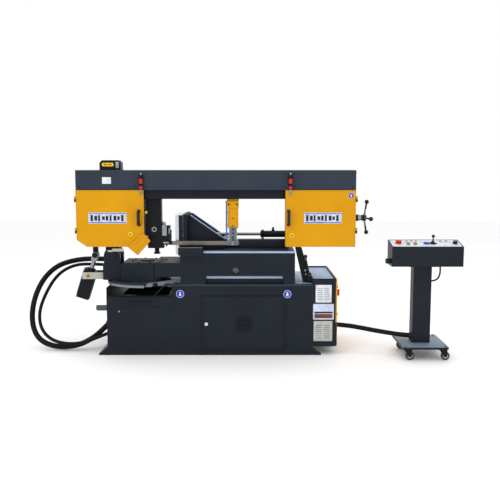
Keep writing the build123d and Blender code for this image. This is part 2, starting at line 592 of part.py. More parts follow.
def panel_plane(x, back=0.5, height=0):
    """A plane on the desk's sloping panel: x across it, back from 0 at the front edge to 1 at the rear."""
    y = DESK_Y[0] + back * (DESK_Y[1] - DESK_Y[0])
    z = DESK_FRONT + back * (DESK_BACK - DESK_FRONT)
    normal = Vector(0, -sin(slope), cos(slope))
    return Plane(origin=Vector(x, y, z) + normal * height, x_dir=(1, 0, 0), z_dir=normal)


CONTROLS = {"e_stop": (1620, 0.5), "start_button": (1700, 0.4), "stop_button": (1760, 0.4),
            "joystick": (1913, 0.5), "speed_knob": (2101, 0.45)}

with BuildPart() as desk_box:
    with BuildSketch(Plane.YZ.offset(DESK_X[0])):
        with BuildLine():
            Polyline((DESK_Y[0], DESK_BOTTOM), (DESK_Y[0], DESK_FRONT), (DESK_Y[1], DESK_BACK),
                     (DESK_Y[1], DESK_BOTTOM), close=True)
        make_face()
    extrude(amount=DESK_X[1] - DESK_X[0])
    with BuildSketch(Plane.YZ.offset(DESK_X[0] + 4)):
        with BuildLine():
            Polyline((DESK_Y[0] + 4, DESK_BOTTOM + 4), (DESK_Y[0] + 4, DESK_FRONT - 4),
                     (DESK_Y[1] - 4, DESK_BACK - 5), (DESK_Y[1] - 4, DESK_BOTTOM + 4), close=True)
        make_face()
    extrude(amount=DESK_X[1] - DESK_X[0] - 8, mode=Mode.SUBTRACT)
    for x, back in CONTROLS.values():
        with BuildSketch(panel_plane(x, back, -12)):
            Circle(8)
        extrude(amount=30, mode=Mode.SUBTRACT)
    block((1508, 1548), (-430, -390), (815, 850))
pieces["desk_box"] = desk_box

for name in ("e_stop", "start_button", "stop_button", "speed_knob"):
    x, back = CONTROLS[name]
    with BuildPart() as control:
        with BuildSketch(panel_plane(x, back, -14)):
            Circle(7.7)
        extrude(amount=26)
        gap, rise = {"e_stop": (8, 26), "speed_knob": (1, 22)}.get(name, (5, 8))
        with BuildSketch(panel_plane(x, back, gap)):
            Circle({"e_stop": 24, "speed_knob": 19}.get(name, 14))
        extrude(amount=rise - gap + 4)
        fillet(control.edges().group_by(Axis.Z)[-1], radius=2)
    pieces[name] = control

with BuildPart() as joystick:
    stick_plane = panel_plane(*CONTROLS["joystick"])
    with BuildSketch(stick_plane.offset(-2)):
        Circle(5)
    extrude(amount=62)
    with Locations(stick_plane.offset(66)):
        Sphere(14)
    with BuildSketch(stick_plane.offset(5)):
        Circle(18)
    with BuildSketch(stick_plane.offset(26)):
        Circle(8)
    loft()
    pin = stick_plane.origin
    barrel((pin.X, pin.Y - 6.5, pin.Z), (pin.X, pin.Y + 6.5, pin.Z), 3.5)
pieces["joystick"] = joystick

with BuildPart() as desk_stand:
    block(STAND_X, STAND_Y, STAND_Z)
    fillet(desk_stand.edges().filter_by(Axis.Z), radius=14)
    block(COLUMN_X, COLUMN_Y, (STAND_Z[1], DESK_BOTTOM))
    block((1700, 1955), (-450, -290), (DESK_BOTTOM - 6, DESK_BOTTOM))
    for z in (300, 640):
        block((COLUMN_X[0] + 30, COLUMN_X[1] - 30), (COLUMN_Y[0] - 3, COLUMN_Y[0]), (z, z + 60))
pieces["desk_stand"] = desk_stand

left, right, front, rear = STAND_X[0] + 45, STAND_X[1] - 45, STAND_Y[0] + 45, STAND_Y[1] - 45
corners = {"front_left": (left, front), "front_right": (right, front),
           "rear_left": (left, rear), "rear_right": (right, rear)}
for corner, (x, y) in corners.items():
    wheel_x = x + CASTER_TRAIL
    with BuildPart() as fork:
        barrel((x, y, 90), (x, y, 99.5), 24)
        block((x - 22, wheel_x + 14), (y - 19, y + 19), (80, 91))
        for side in (-1, 1):
            near, far = sorted((y + side * 15, y + side * 19))
            with BuildSketch(Plane.XZ.offset(-near)):
                with BuildLine():
                    Polyline((x - 18, 82), (wheel_x + 14, 82), (wheel_x + 12, 30), (wheel_x - 12, 30),
                             close=True)
                make_face()
            extrude(amount=near - far)
        barrel((wheel_x, y - 21, CASTER_RADIUS), (wheel_x, y + 21, CASTER_RADIUS), 5)
    pieces["fork_" + corner] = fork
    with BuildPart() as caster_wheel:
        barrel((wheel_x, y - 13, CASTER_RADIUS), (wheel_x, y + 13, CASTER_RADIUS), CASTER_RADIUS)
        fillet(caster_wheel.edges(), radius=5)
        barrel((wheel_x, y - 14, CASTER_RADIUS), (wheel_x, y + 14, CASTER_RADIUS), 5 + RUNNING, Mode.SUBTRACT)
    pieces["wheel_" + corner] = caster_wheel

# ---------------------------------------------------------------- hoses and cables
for name, (diameter, route) in ROUTES.items():
    radii, turns = [], []
    for before, here, after in zip(route, route[1:], route[2:]):
        run_in, run_out = Vector(*here) - Vector(*before), Vector(*after) - Vector(*here)
        turn = run_in.get_angle(run_out)
        turns.append(turn)
        radii.append(0.45 * min(run_in.length, run_out.length) / tan(radians(turn / 2)))
    with BuildPart() as tube:
        with BuildLine() as path:
            run = FilletPolyline(*route, radius=radii)
        with BuildSketch(Plane(origin=route[0], z_dir=run % 0)):
            Circle(diameter / 2)
        sweep()
    pieces[name] = tube
    expected = pi * diameter ** 2 / 4 * run.length
    print(name, "length", round(run.length), "radii", [round(r) for r in radii],
          "turns", [round(t) for t in turns], "volume ratio", round(tube.part.volume / expected, 4))

GLANDS = [("main_hose", 0, 1), ("main_hose", -1, -2), ("return_hose", 0, 1), ("return_hose", -1, -2),
          ("desk_conduit", 0, 1), ("desk_conduit", -1, -2), ("desk_lead", 0, 1), ("desk_lead", -1, -2)]
with BuildPart() as hose_glands:
    for name, end, neighbour in GLANDS:
        diameter, route = ROUTES[name]
        tip = Vector(*route[end])
        outward = (tip - Vector(*route[neighbour])).normalized()
        barrel(route[end], (tip + outward * 45).to_tuple(), diameter / 2 + 7)
    block((-926, -BASE_X), (212, 340), (430, 800))
    block((-BASE_X, -700), (-400, -100), (100, 400), Mode.SUBTRACT)
    block((1000, 1104), (-300, -100), (150, 300), Mode.SUBTRACT)
    block(COLUMN_X, (-450, -300), (118, DESK_BOTTOM), Mode.SUBTRACT)
    block((1930, 2100), DESK_Y, (DESK_BOTTOM, 900), Mode.SUBTRACT)
pieces["hose_glands"] = hose_glands

os.makedirs("parts", exist_ok=True)
for name, piece in pieces.items():
    piece.part.label = name
    export_step(piece.part, f"parts/{name}.step")
print(len(pieces), "pieces")
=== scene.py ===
from math import atan2, cos, pi, radians, sin

import bmesh
import bpy
from mathutils import Matrix, Vector


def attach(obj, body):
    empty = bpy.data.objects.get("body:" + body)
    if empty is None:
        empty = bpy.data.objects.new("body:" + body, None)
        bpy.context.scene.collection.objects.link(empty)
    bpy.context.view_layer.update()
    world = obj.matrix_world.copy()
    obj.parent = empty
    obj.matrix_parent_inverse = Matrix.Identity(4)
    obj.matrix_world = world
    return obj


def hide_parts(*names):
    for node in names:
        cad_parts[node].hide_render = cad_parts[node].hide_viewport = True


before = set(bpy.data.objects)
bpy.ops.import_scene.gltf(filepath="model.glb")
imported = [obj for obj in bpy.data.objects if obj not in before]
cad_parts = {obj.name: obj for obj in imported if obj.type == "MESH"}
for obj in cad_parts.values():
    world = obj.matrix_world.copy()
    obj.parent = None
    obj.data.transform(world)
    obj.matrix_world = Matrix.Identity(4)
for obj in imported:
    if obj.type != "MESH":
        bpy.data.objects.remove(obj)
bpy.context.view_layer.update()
CAD_NODES = dict(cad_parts)
UP = Vector((0, 0, 1))


# ---------------------------------------------------------------- camera
LENS_MM, SENSOR_MM = 50.4, 36
EYE = (0.350, -6.33, 1.645)
LOOK_DOWN = 6.92  # degrees below level


def set_camera():
    data = bpy.data.cameras.new("camera")
    data.lens = LENS_MM
    data.sensor_width = SENSOR_MM
    camera = bpy.data.objects.new("camera", data)
    camera.location = EYE
    camera.rotation_euler = (radians(90 - LOOK_DOWN), 0, 0)
    bpy.context.scene.collection.objects.link(camera)
    bpy.context.scene.camera = camera


set_camera()


# ---------------------------------------------------------------- finishes
PAINT_SHINE, PLASTIC_SHINE, HOSE_SHINE = 0.15, 0.28, 0.16
WEAVE_SCALE = 210  # cells a metre in a hose's braid


def start_finish(name):
    """A new material, its nodes and links, its shader and the object's own coordinates."""
    material = bpy.data.materials.new(name)
    material.use_nodes = True
    nodes = material.node_tree.nodes
    place = nodes.new("ShaderNodeTexCoord").outputs["Object"]
    return material, nodes, material.node_tree.links, nodes["Principled BSDF"], place


def noise(nodes, links, place, scale, detail=3, stretch=None):
    """A noise pattern's value; stretch squeezes it along the axes, as brushing does."""
    if stretch:
        mapping = nodes.new("ShaderNodeMapping")
        mapping.inputs["Scale"].default_value = stretch
        links.new(place, mapping.inputs["Vector"])
        place = mapping.outputs["Vector"]
    texture = nodes.new("ShaderNodeTexNoise")
    texture.inputs["Scale"].default_value = scale
    texture.inputs["Detail"].default_value = detail
    links.new(place, texture.inputs["Vector"])
    return texture.outputs["Fac"]


def ramp(nodes, links, value, low, high, low_at=0.3, high_at=0.7):
    """Colours between two stops along a value."""
    colours = nodes.new("ShaderNodeValToRGB")
    first, last = colours.color_ramp.elements
    first.position, last.position = low_at, high_at
    first.color, last.color = (*low, 1), (*high, 1)
    links.new(value, colours.inputs["Fac"])
    return colours.outputs["Color"]


def spread(nodes, links, value, low, high):
    """A value from 0 to 1 turned into one from low to high."""
    turned = nodes.new("ShaderNodeMapRange")
    turned.inputs["To Min"].default_value = low
    turned.inputs["To Max"].default_value = high
    links.new(value, turned.inputs["Value"])
    return turned.outputs["Result"]


def mix(nodes, links, mask, under, over):
    """One colour over another, by a mask; each is a colour or a socket."""
    mixed = nodes.new("ShaderNodeMix")
    mixed.data_type = "RGBA"
    links.new(mask, mixed.inputs["Factor"])
    for socket, colour in ((mixed.inputs["A"], under), (mixed.inputs["B"], over)):
        if hasattr(colour, "is_output"):
            links.new(colour, socket)
        else:
            socket.default_value = (*colour, 1)
    return mixed.outputs["Result"]


def relief(nodes, links, height, strength, distance, round_edge):
    """The normal of a bump over softly rounded edges, and that of the rounded edges alone."""
    edge = nodes.new("ShaderNodeBevel")
    edge.samples = 4
    edge.inputs["Radius"].default_value = round_edge
    bump = nodes.new("ShaderNodeBump")
    bump.inputs["Strength"].default_value = strength
    bump.inputs["Distance"].default_value = distance
    links.new(height, bump.inputs["Height"])
    links.new(edge.outputs["Normal"], bump.inputs["Normal"])
    return bump.outputs["Normal"], edge.outputs["Normal"]


def edge_mask(nodes, links, rounded, reach):
    """A mask that rises to reach where the rounded normal leaves the face's own, as along a worn edge."""
    facing = nodes.new("ShaderNodeNewGeometry").outputs["True Normal"]
    dot = nodes.new("ShaderNodeVectorMath")
    dot.operation = "DOT_PRODUCT"
    links.new(rounded, dot.inputs[0])
    links.new(facing, dot.inputs[1])
    mask = nodes.new("ShaderNodeMapRange")
    mask.inputs["From Min"].default_value = 0.995
    mask.inputs["From Max"].default_value = 0.80
    mask.inputs["To Max"].default_value = reach
    links.new(dot.outputs["Value"], mask.inputs["Value"])
    return mask.outputs["Result"]


def painted(name, colour, roughness, worn, peel=0.10, mottling=0.12, grain=260):
    """Sprayed paint: faint clouds of colour, orange peel, and paler worn edges."""
    material, nodes, links, shader, place = start_finish(name)
    dark = [c * (1 - mottling) for c in colour]
    light = [min(1, c * (1 + mottling)) for c in colour]
    clouds = ramp(nodes, links, noise(nodes, links, place, 3.5, 5), dark, light)
    normal, rounded = relief(nodes, links, noise(nodes, links, place, grain, 2), peel, 0.0006, 0.0022)
    colour_out = mix(nodes, links, edge_mask(nodes, links, rounded, 0.55), clouds, worn)
    links.new(colour_out, shader.inputs["Base Color"])
    links.new(normal, shader.inputs["Normal"])
    rough = spread(nodes, links, noise(nodes, links, place, 12, 4), roughness - 0.07, roughness + 0.07)
    links.new(rough, shader.inputs["Roughness"])
    shader.inputs["Specular IOR Level"].default_value = PAINT_SHINE
    return material


def brushed(name, colour, roughness, stretch=(1, 40, 40)):
    """Bare steel with fine lines from grinding and cloudy handling marks."""
    material, nodes, links, shader, place = start_finish(name)
    lines = noise(nodes, links, place, 30, 4, stretch)
    marks = noise(nodes, links, place, 9, 5)
    dark, light = [c * 0.80 for c in colour], [min(1, c * 1.12) for c in colour]
    links.new(ramp(nodes, links, lines, dark, light), shader.inputs["Base Color"])
    normal = relief(nodes, links, lines, 0.06, 0.0004, 0.0012)[0]
    links.new(normal, shader.inputs["Normal"])
    links.new(spread(nodes, links, marks, roughness - 0.09, roughness + 0.10), shader.inputs["Roughness"])
    shader.inputs["Metallic"].default_value = 0.92
    return material


def moulded(name, colour, roughness, grain=900, depth=0.12):
    """Moulded plastic or rubber: an even colour with a fine grain."""
    material, nodes, links, shader, place = start_finish(name)
    dark, light = [c * 0.85 for c in colour], [min(1, c * 1.15 + 0.004) for c in colour]
    links.new(ramp(nodes, links, noise(nodes, links, place, 25, 4), dark, light), shader.inputs["Base Color"])
    normal = relief(nodes, links, noise(nodes, links, place, grain, 2), depth, 0.0003, 0.001)[0]
    links.new(normal, shader.inputs["Normal"])
    links.new(spread(nodes, links, noise(nodes, links, place, 40, 3), roughness - 0.06, roughness + 0.06),
              shader.inputs["Roughness"])
    shader.inputs["Specular IOR Level"].default_value = PLASTIC_SHINE
    return material


def ribbed_rubber(name, colour):
    """Hose rubber: dusty, with the weave of its braid showing through."""
    material, nodes, links, shader, place = start_finish(name)
    weave = nodes.new("ShaderNodeTexVoronoi")
    weave.inputs["Scale"].default_value = WEAVE_SCALE
    links.new(place, weave.inputs["Vector"])
    dust = noise(nodes, links, place, 7, 5)
    links.new(ramp(nodes, links, dust, colour, [c * 1.5 + 0.001 for c in colour], 0.4, 0.8),
              shader.inputs["Base Color"])
    normal = relief(nodes, links, weave.outputs["Distance"], 0.25, 0.0008, 0.001)[0]
    links.new(normal, shader.inputs["Normal"])
    links.new(spread(nodes, links, dust, 0.42, 0.62), shader.inputs["Roughness"])
    shader.inputs["Specular IOR Level"].default_value = HOSE_SHINE
    return material


BASE_PAINT = painted("base_paint", (0.0085, 0.0120, 0.0190), 0.42, (0.05, 0.058, 0.075))
BEAM_PAINT = painted("beam_paint", (0.026, 0.035, 0.052), 0.38, (0.07, 0.08, 0.10))
# a darker copy of the base paint: painted shade, for the parts that sit in shadow
SHADE_PAINT = painted("shade_paint", (0.0055, 0.0080, 0.0135), 0.46, (0.04, 0.045, 0.055))
YELLOW = painted("amber_paint", (0.615, 0.285, 0.0008), 0.36, (0.90, 0.55, 0.08), mottling=0.05)
CAST_PAINT = painted("cast_paint", (0.0085, 0.0120, 0.0190), 0.48, (0.055, 0.062, 0.075), peel=0.35, grain=120)
BLACK_PAINT = painted("black_paint", (0.0045, 0.0055, 0.0085), 0.44, (0.03, 0.032, 0.04))
GREY_PAINT = painted("unit_grey", (0.13, 0.145, 0.17), 0.44, (0.28, 0.30, 0.32))
OLIVE_STEEL = painted("bracket_steel", (0.40, 0.41, 0.36), 0.40, (0.6, 0.6, 0.56))
PLATE_PAINT = painted("floor_plate_paint", (0.15, 0.19, 0.24), 0.36, (0.3, 0.35, 0.4), peel=0.2)
WHITE_PAINT = painted("panel_white", (0.60, 0.63, 0.67), 0.38, (0.8, 0.82, 0.85), mottling=0.03)
# light blue that stands in for the sky: painted sky reflection on flat tops, and painted highlight along the
# gusset edges
SKY_REFLECTION_PAINT = painted("painted_sky_reflection", (0.33, 0.44, 0.62), 0.33, (0.6, 0.68, 0.8))
PRINT_BROWN = painted("print_brown", (0.16, 0.055, 0.035), 0.40, (0.3, 0.2, 0.18), mottling=0.4)
STEEL = brushed("ground_steel", (0.30, 0.315, 0.34), 0.32)
BRIGHT = brushed("bright_steel", (0.62, 0.68, 0.70), 0.28, (40, 40, 1))
# turned steel whose blue tint is painted sky reflection over the steel's own grey
TURNED_SKY_TINT = brushed("turntable_steel_sky_tint", (0.21, 0.24, 0.29), 0.34, (60, 60, 2))
BLADE_STEEL = brushed("blade_steel", (0.23, 0.205, 0.175), 0.36, (1, 60, 60))
BRASS = brushed("brass", (0.36, 0.17, 0.03), 0.36)
BLACK_PLASTIC = moulded("black_plastic", (0.006, 0.006, 0.008), 0.42)
RED_PLASTIC = moulded("red_plastic", (0.55, 0.008, 0.010), 0.30)
GREEN_PLASTIC = moulded("green_plastic", (0.02, 0.26, 0.07), 0.30)
YELLOW_PLASTIC = moulded("yellow_plastic", (0.80, 0.56, 0.01), 0.34)
WHITE_FILM = moulded("white_film", (0.66, 0.68, 0.71), 0.32, depth=0.04)
LABEL_FILM = moulded("label_film", (0.52, 0.58, 0.72), 0.30, depth=0.04)
GREY_FILM = moulded("grey_film", (0.42, 0.43, 0.40), 0.34, depth=0.06)
DARK_FILM = moulded("dark_film", (0.010, 0.011, 0.016), 0.32, depth=0.04)
BLUE_FILM = moulded("blue_film", (0.010, 0.045, 0.50), 0.32, depth=0.04)
BLUE_TUBE = moulded("blue_tube", (0.01, 0.12, 0.55), 0.28, depth=0.05)
TYRE = moulded("caster_tyre", (0.035, 0.035, 0.038), 0.50)
HOSE_RUBBER = ribbed_rubber("hose_rubber", (0.0016, 0.0018, 0.0024))

FINISHES = {
    BASE_PAINT: "base_cabinet base_door electrics_cabinet chip_drawer desk_box desk_stand pivot_post "
                "vise_cylinder",
    BEAM_PAINT: "bow_beam",
    SHADE_PAINT: "blade_channel left_housing right_housing",
    YELLOW: "left_door right_door guide_arm cabinet_door",
    CAST_PAINT: "bed swivel_arm moving_jaw",
    BLACK_PAINT: "chip_tray bow_rest lift_cylinder left_guide bow_boxes vise_rail "
                 "fork_front_left fork_front_right fork_rear_left fork_rear_right",
    BRIGHT: "fixed_jaw base_lock",
    TURNED_SKY_TINT: "turntable",
    STEEL: "lift_rod guide_block jaw_rod drive_wheel idler_wheel",
    BLADE_STEEL: "blade",
    BLACK_PLASTIC: "left_handle right_handle hose_glands joystick speed_knob tension_handle valve_lever",
    RED_PLASTIC: "e_stop stop_button main_switch",
    GREEN_PLASTIC: "start_button",
    GREY_PAINT: "fluid_units switchgear drive_unit",
    TYRE: "wheel_front_left wheel_front_right wheel_rear_left wheel_rear_right",
    HOSE_RUBBER: "main_hose return_hose desk_conduit desk_lead",
}
for finish, names in FINISHES.items():
    for name in names.split():
        node = CAD_NODES[name]
        node.data.materials.clear()
        node.data.materials.append(finish)

# ---------------------------------------------------------------- hoses and cables
# diameter, length, stiffness and the points that the line follows
ROUTES = {
    "main_hose": (0.048, 2.05, "medium", [
        (-0.930, 0.300, 0.750), (-1.147, 0.298, 0.761), (-1.317, 0.268, 0.749), (-1.461, 0.205, 0.708),
        (-1.562, 0.120, 0.612), (-1.617, 0.025, 0.482), (-1.634, -0.065, 0.341), (-1.616, -0.130, 0.206),
        (-1.556, -0.180, 0.101), (-1.447, -0.205, 0.042), (-1.320, -0.210, 0.027), (-1.190, -0.208, 0.042),
        (-1.070, -0.206, 0.098), (-0.978, -0.205, 0.172), (-0.912, -0.205, 0.240)]),
    "return_hose": (0.030, 1.79, "medium", [
        (-0.930, 0.240, 0.704), (-1.125, 0.238, 0.714), (-1.269, 0.212, 0.717), (-1.380, 0.152, 0.680),
        (-1.459, 0.068, 0.603), (-1.511, -0.028, 0.489), (-1.544, -0.118, 0.369), (-1.537, -0.185, 0.253),
        (-1.483, -0.232, 0.156), (-1.391, -0.250, 0.091), (-1.270, -0.252, 0.066), (-1.150, -0.254, 0.074),
        (-1.035, -0.256, 0.112), (-0.902, -0.258, 0.168)]),
    "desk_conduit": (0.042, 0.66, "stiff", [
        (1.109, -0.200, 0.232), (1.230, -0.202, 0.222), (1.346, -0.216, 0.204), (1.470, -0.250, 0.186),
        (1.594, -0.300, 0.176), (1.670, -0.335, 0.172), (1.737, -0.358, 0.172)]),
    "desk_lead": (0.014, 0.183, "medium", [
        (1.985, -0.370, 0.787), (1.989, -0.368, 0.742), (1.985, -0.364, 0.700), (1.968, -0.360, 0.668),
        (1.938, -0.357, 0.652), (1.911, -0.356, 0.651)]),
}


def lay_hose(name, diameter, route):
    """A hose or cable: one smooth line along its route, made round."""
    curve = bpy.data.curves.new(name + "_line", "CURVE")
    curve.dimensions = "3D"
    spline = curve.splines.new("NURBS")
    spline.points.add(len(route) - 1)
    for point, place in zip(spline.points, route):
        point.co = (*place, 1)
    spline.order_u = 3
    spline.use_endpoint_u = True
    spline.resolution_u = 8
    curve.bevel_depth = diameter / 2
    curve.bevel_resolution = 6
    curve.use_fill_caps = True
    curve.materials.append(HOSE_RUBBER)
    hose = bpy.data.objects.new(name + "_smooth", curve)
    bpy.context.scene.collection.objects.link(hose)
    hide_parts(name)
    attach(hose, "root")


for name, (diameter, length, stiffness, route) in ROUTES.items():
    lay_hose(name, diameter, route)


# ---------------------------------------------------------------- shaping
RIM_ANGLE = 0.9  # a bar's edges that turn by more than this, in radians, are its rims
SHARP_ANGLE = radians(34)
FORWARD, BACKWARD = (0, -1, 0), (0, 1, 0)


def bevel(form, edges, round_edge):
    bmesh.ops.bevel(form, geom=edges, offset=round_edge, segments=2, profile=0.5,
                    affect="EDGES", material=-1)


def box(form, low, high, round_edge):
    """A box between two corners with rounded edges."""
    low, high = Vector(low), Vector(high)
    place = Matrix.Translation((low + high) / 2) @ Matrix.Diagonal((*(high - low), 1))
    made = bmesh.ops.create_cube(form, size=1, matrix=place)["verts"]
    bevel(form, list({edge for vert in made for edge in vert.link_edges}), round_edge)


def bar(form, start, end, radius, sides=28, end_radius=None, round_edge=0.0):
    """A round bar, cone or, with few sides, a prism between two points."""
    start, end = Vector(start), Vector(end)
    turn = (end - start).to_track_quat("Z", "Y").to_matrix().to_4x4()
    made = bmesh.ops.create_cone(form, cap_ends=True, segments=sides, radius1=radius,
                                 radius2=radius if end_radius is None else end_radius,
                                 depth=(end - start).length,
                                 matrix=Matrix.Translation((start + end) / 2) @ turn)["verts"]
    if round_edge:
        edges = {edge for vert in made for edge in vert.link_edges}
        bevel(form, [edge for edge in edges if edge.calc_face_angle(0) > RIM_ANGLE], round_edge)


def ring(form, centre, axis, inner, outer, depth, sides=40):
    """A flat ring: a rectangle of section spun about its axis."""
    axis = Vector(axis).normalized()
    side = axis.orthogonal().normalized()
    centre = Vector(centre)
    corners = [form.verts.new(centre + side * r + axis * h)
               for r, h in ((inner, 0), (outer, 0), (outer, depth), (inner, depth))]
    loop = [form.edges.new((corners[k], corners[(k + 1) % 4])) for k in range(4)]
    bmesh.ops.spin(form, geom=corners + loop, cent=centre, axis=axis, angle=2 * pi, steps=sides, use_merge=True)
    bmesh.ops.recalc_face_normals(form, faces=form.faces)


def flat_plate(form, points, push):
    """A flat plate: a face through the points, and the same face pushed away from it."""
    face = form.faces.new([form.verts.new(point) for point in points])
    pushed = bmesh.ops.extrude_face_region(form, geom=[face])["geom"]
    moved = [item for item in pushed if isinstance(item, bmesh.types.BMVert)]
    bmesh.ops.translate(form, vec=push, verts=moved)
    bmesh.ops.recalc_face_normals(form, faces=form.faces)


def outline_plate(form, outline, y_front, depth):
    """A flat plate whose outline is drawn in X and Z, pushed back from its front face."""
    flat_plate(form, [(x, y_front, z) for x, z in outline], (0, depth, 0))


def bolt(form, head, axis, size=0.012, round_head=False):
    """A hexagon head, or a round one, on a washer."""
    head, axis = Vector(head), Vector(axis).normalized()
    bar(form, head, head + axis * size * 0.14, size * 1.05, 20, round_edge=size * 0.04)
    if round_head:
        bar(form, head, head + axis * size * 0.75, size * 0.78, 20, round_edge=size * 0.08)
    else:
        bar(form, head, head + axis * size * 0.62, size * 0.88, 6, round_edge=size * 0.06)


def place(name, form, finish, body, slot):
    """Turns a finished form into a piece that rides on a body."""
    for face in form.faces:
        face.smooth = True
    for edge in form.edges:
        if len(edge.link_faces) == 2 and edge.calc_face_angle(0) > SHARP_ANGLE:
            edge.smooth = False
    mesh = bpy.data.meshes.new(name)
    form.to_mesh(mesh)
    form.free()
    mesh.materials.append(finish)
    piece = bpy.data.objects.new(name, mesh)
    bpy.context.scene.collection.objects.link(piece)
    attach(piece, body)


# ---------------------------------------------------------------- bow doors and their trim
DOOR_FACE = -0.340
# widths and heights of the label's plain bars, in steps
LABEL_BARS = ((5, 5), (6, 4), (4, 5), (6, 3), (5, 4), (4, 5), (6, 4), (5, 3), (5, 5))


def label_plate(name, low, high, y, body):
    """A pale plate between two blue lines, with plain bars in place of any lettering."""
    (x0, z0), (x1, z1) = low, high
    form = bmesh.new()
    box(form, (x0, y - 0.0020, z0), (x1, y, z1), 0.0008)
    place(name + "_face", form, LABEL_FILM, body, "steel")
    form = bmesh.new()
    for z in (z0 + 0.006, z1 - 0.012):
        box(form, (x0 + 0.006, y - 0.0028, z), (x1 - 0.006, y - 0.0018, z + 0.006), 0.0003)
    place(name + "_lines", form, BLUE_FILM, body, "base_paint")
    form = bmesh.new()
    width, middle = x1 - x0, (z0 + z1) / 2
    for k, (wide, tall) in enumerate(LABEL_BARS):
        start, half = x0 + width * (0.055 + 0.1 * k), 0.0052 * tall
        end = start + width * 0.0125 * wide
        box(form, (start, y - 0.0028, middle - half), (end, y - 0.0018, middle + half), 0.0003)
    place(name + "_bars", form, DARK_FILM, body, "black_plastic")


label_plate("left_label", (-1.035, 1.147), (-0.707, 1.240), DOOR_FACE, "left_door")
label_plate("right_label", (0.813, 1.147), (1.136, 1.240), DOOR_FACE, "right_door")


def round_sign(name, centre, radius, body, y):
    """A round blue sign with a simple pair of shapes on it."""
    x, z = centre
    form = bmesh.new()
    bar(form, (x, y, z), (x, y - 0.0015, z), radius, 40)
    place(name + "_rim", form, WHITE_FILM, body, "steel")
    form = bmesh.new()
    bar(form, (x, y - 0.001, z), (x, y - 0.0022, z), radius * 0.9, 40)
    place(name + "_field", form, BLUE_FILM, body, "steel")
    form = bmesh.new()
    bar(form, (x, y - 0.002, z + radius * 0.34), (x, y - 0.003, z + radius * 0.34), radius * 0.2, 20)
    half = radius * 0.28
    box(form, (x - half, y - 0.003, z - radius * 0.5), (x + half, y - 0.002, z + radius * 0.1), 0.0004)
    place(name + "_mark", form, WHITE_FILM, body, "steel")


round_sign("door_sign", (1.214, 1.386), 0.024, "right_door", DOOR_FACE)
round_sign("base_sign_left", (-0.253, 0.541), 0.034, "root", -0.380)
round_sign("base_sign_right", (0.672, 0.541), 0.034, "root", -0.3885)

# each door: the sides of its hinge leaves, its handle, and the place of its lock
for side, leaf_x0, leaf_x1, handle_x, lock_x, lock_z in (("left", -1.139, -1.119, -0.602, -0.679, 1.056),
                                                         ("right", 1.235, 1.255, 0.681, 0.709, 1.044)):
    form = bmesh.new()
    for z in (1.062, 1.332):
        box(form, (leaf_x0, -0.3420, z), (leaf_x1, DOOR_FACE, z + 0.046), 0.0008)
    place(side + "_hinge_leaves", form, YELLOW, side + "_door", "yellow_paint")
    form = bmesh.new()
    for z in (1.137, 1.253):
        bar(form, (handle_x, DOOR_FACE, z), (handle_x, -0.3480, z), 0.015, 24, round_edge=0.002)
    box(form, (handle_x - 0.0125, -0.3885, 1.1370), (handle_x + 0.0125, -0.3650, 1.2530), 0.004)
    place(side + "_handle_grip", form, BLACK_PLASTIC, side + "_door", "black_plastic")
    form = bmesh.new()
    bar(form, (lock_x, DOOR_FACE, lock_z), (lock_x, -0.3425, lock_z), 0.0190, 32, round_edge=0.0005)
    place(side + "_lock_disc", form, YELLOW_PLASTIC, side + "_door", "yellow_paint")
    form = bmesh.new()
    bar(form, (lock_x, -0.3424, lock_z), (lock_x, -0.3440, lock_z), 0.0105, 3)
    place(side + "_lock_key", form, BLACK_PLASTIC, side + "_door", "black_plastic")

form = bmesh.new()
outline_plate(form, [(-0.652, 0.906), (-0.638, 0.892), (-0.531, 1.014), (-0.545, 1.030)], -0.3655, 0.0036)
place("guard_fold", form, YELLOW, "left_door", "yellow_paint")
form = bmesh.new()
for x, z, reach in ((-0.648, 0.972, 0.070), (-0.612, 0.930, 0.055)):
    bar(form, (x, -0.3570, z), (x + reach, -0.3570, z + reach * 1.1), 0.0110, 24)
place("guard_fold_ridges", form, YELLOW, "left_door", "yellow_paint")

# folded strips along the doors' edges, short of the interlocks
for side, strips in (("left", ((-1.1400, 1.4235, -0.6020, 1.4308), (-1.0520, 0.9452, -0.5660, 0.9525),
                               (-0.5675, 1.0600, -0.5602, 1.3850), (-1.1408, 1.0080, -1.1335, 1.4300))),
                     ("right", ((0.7180, 1.4235, 1.2565, 1.4308), (0.6545, 0.9452, 1.2565, 0.9525),
                                (0.6542, 0.9460, 0.6615, 1.4100), (1.2495, 0.9460, 1.2568, 1.4300)))):
    form = bmesh.new()
    for x0, z0, x1, z1 in strips:
        box(form, (x0, -0.3420, z0), (x1, -0.3398, z1), 0.0009)
    place(side + "_door_folds", form, YELLOW, side + "_door", "yellow_paint")

# ---------------------------------------------------------------- interlocks and the box on the beam
INTERLOCKS = (-0.579, 0.695)
form = bmesh.new()
for x in INTERLOCKS:
    for z0, z1 in ((1.488, 1.528), (1.444, 1.466)):
        box(form, (x - 0.014, -0.3560, z0), (x + 0.014, -0.3515, z1), 0.002)
place("interlock_caps", form, RED_PLASTIC, "bow", "red_plastic")
form = bmesh.new()
for x in INTERLOCKS:
    box(form, (x - 0.009, -0.3500, 1.392), (x + 0.009, -0.3455, 1.440), 0.001)
    bar(form, (x, -0.3430, 1.560), (x, -0.3430, 1.580), 0.008, 20, round_edge=0.001)
place("interlock_tongues", form, STEEL, "bow", "steel")
form = bmesh.new()
outline_plate(form, [(-0.914, 1.634), (-0.828, 1.634), (-0.818, 1.649), (-0.828, 1.664), (-0.914, 1.664),
                     (-0.924, 1.649)], -0.2820, 0.0022)
place("box_pill", form, YELLOW_PLASTIC, "bow", "yellow_paint")
form = bmesh.new()
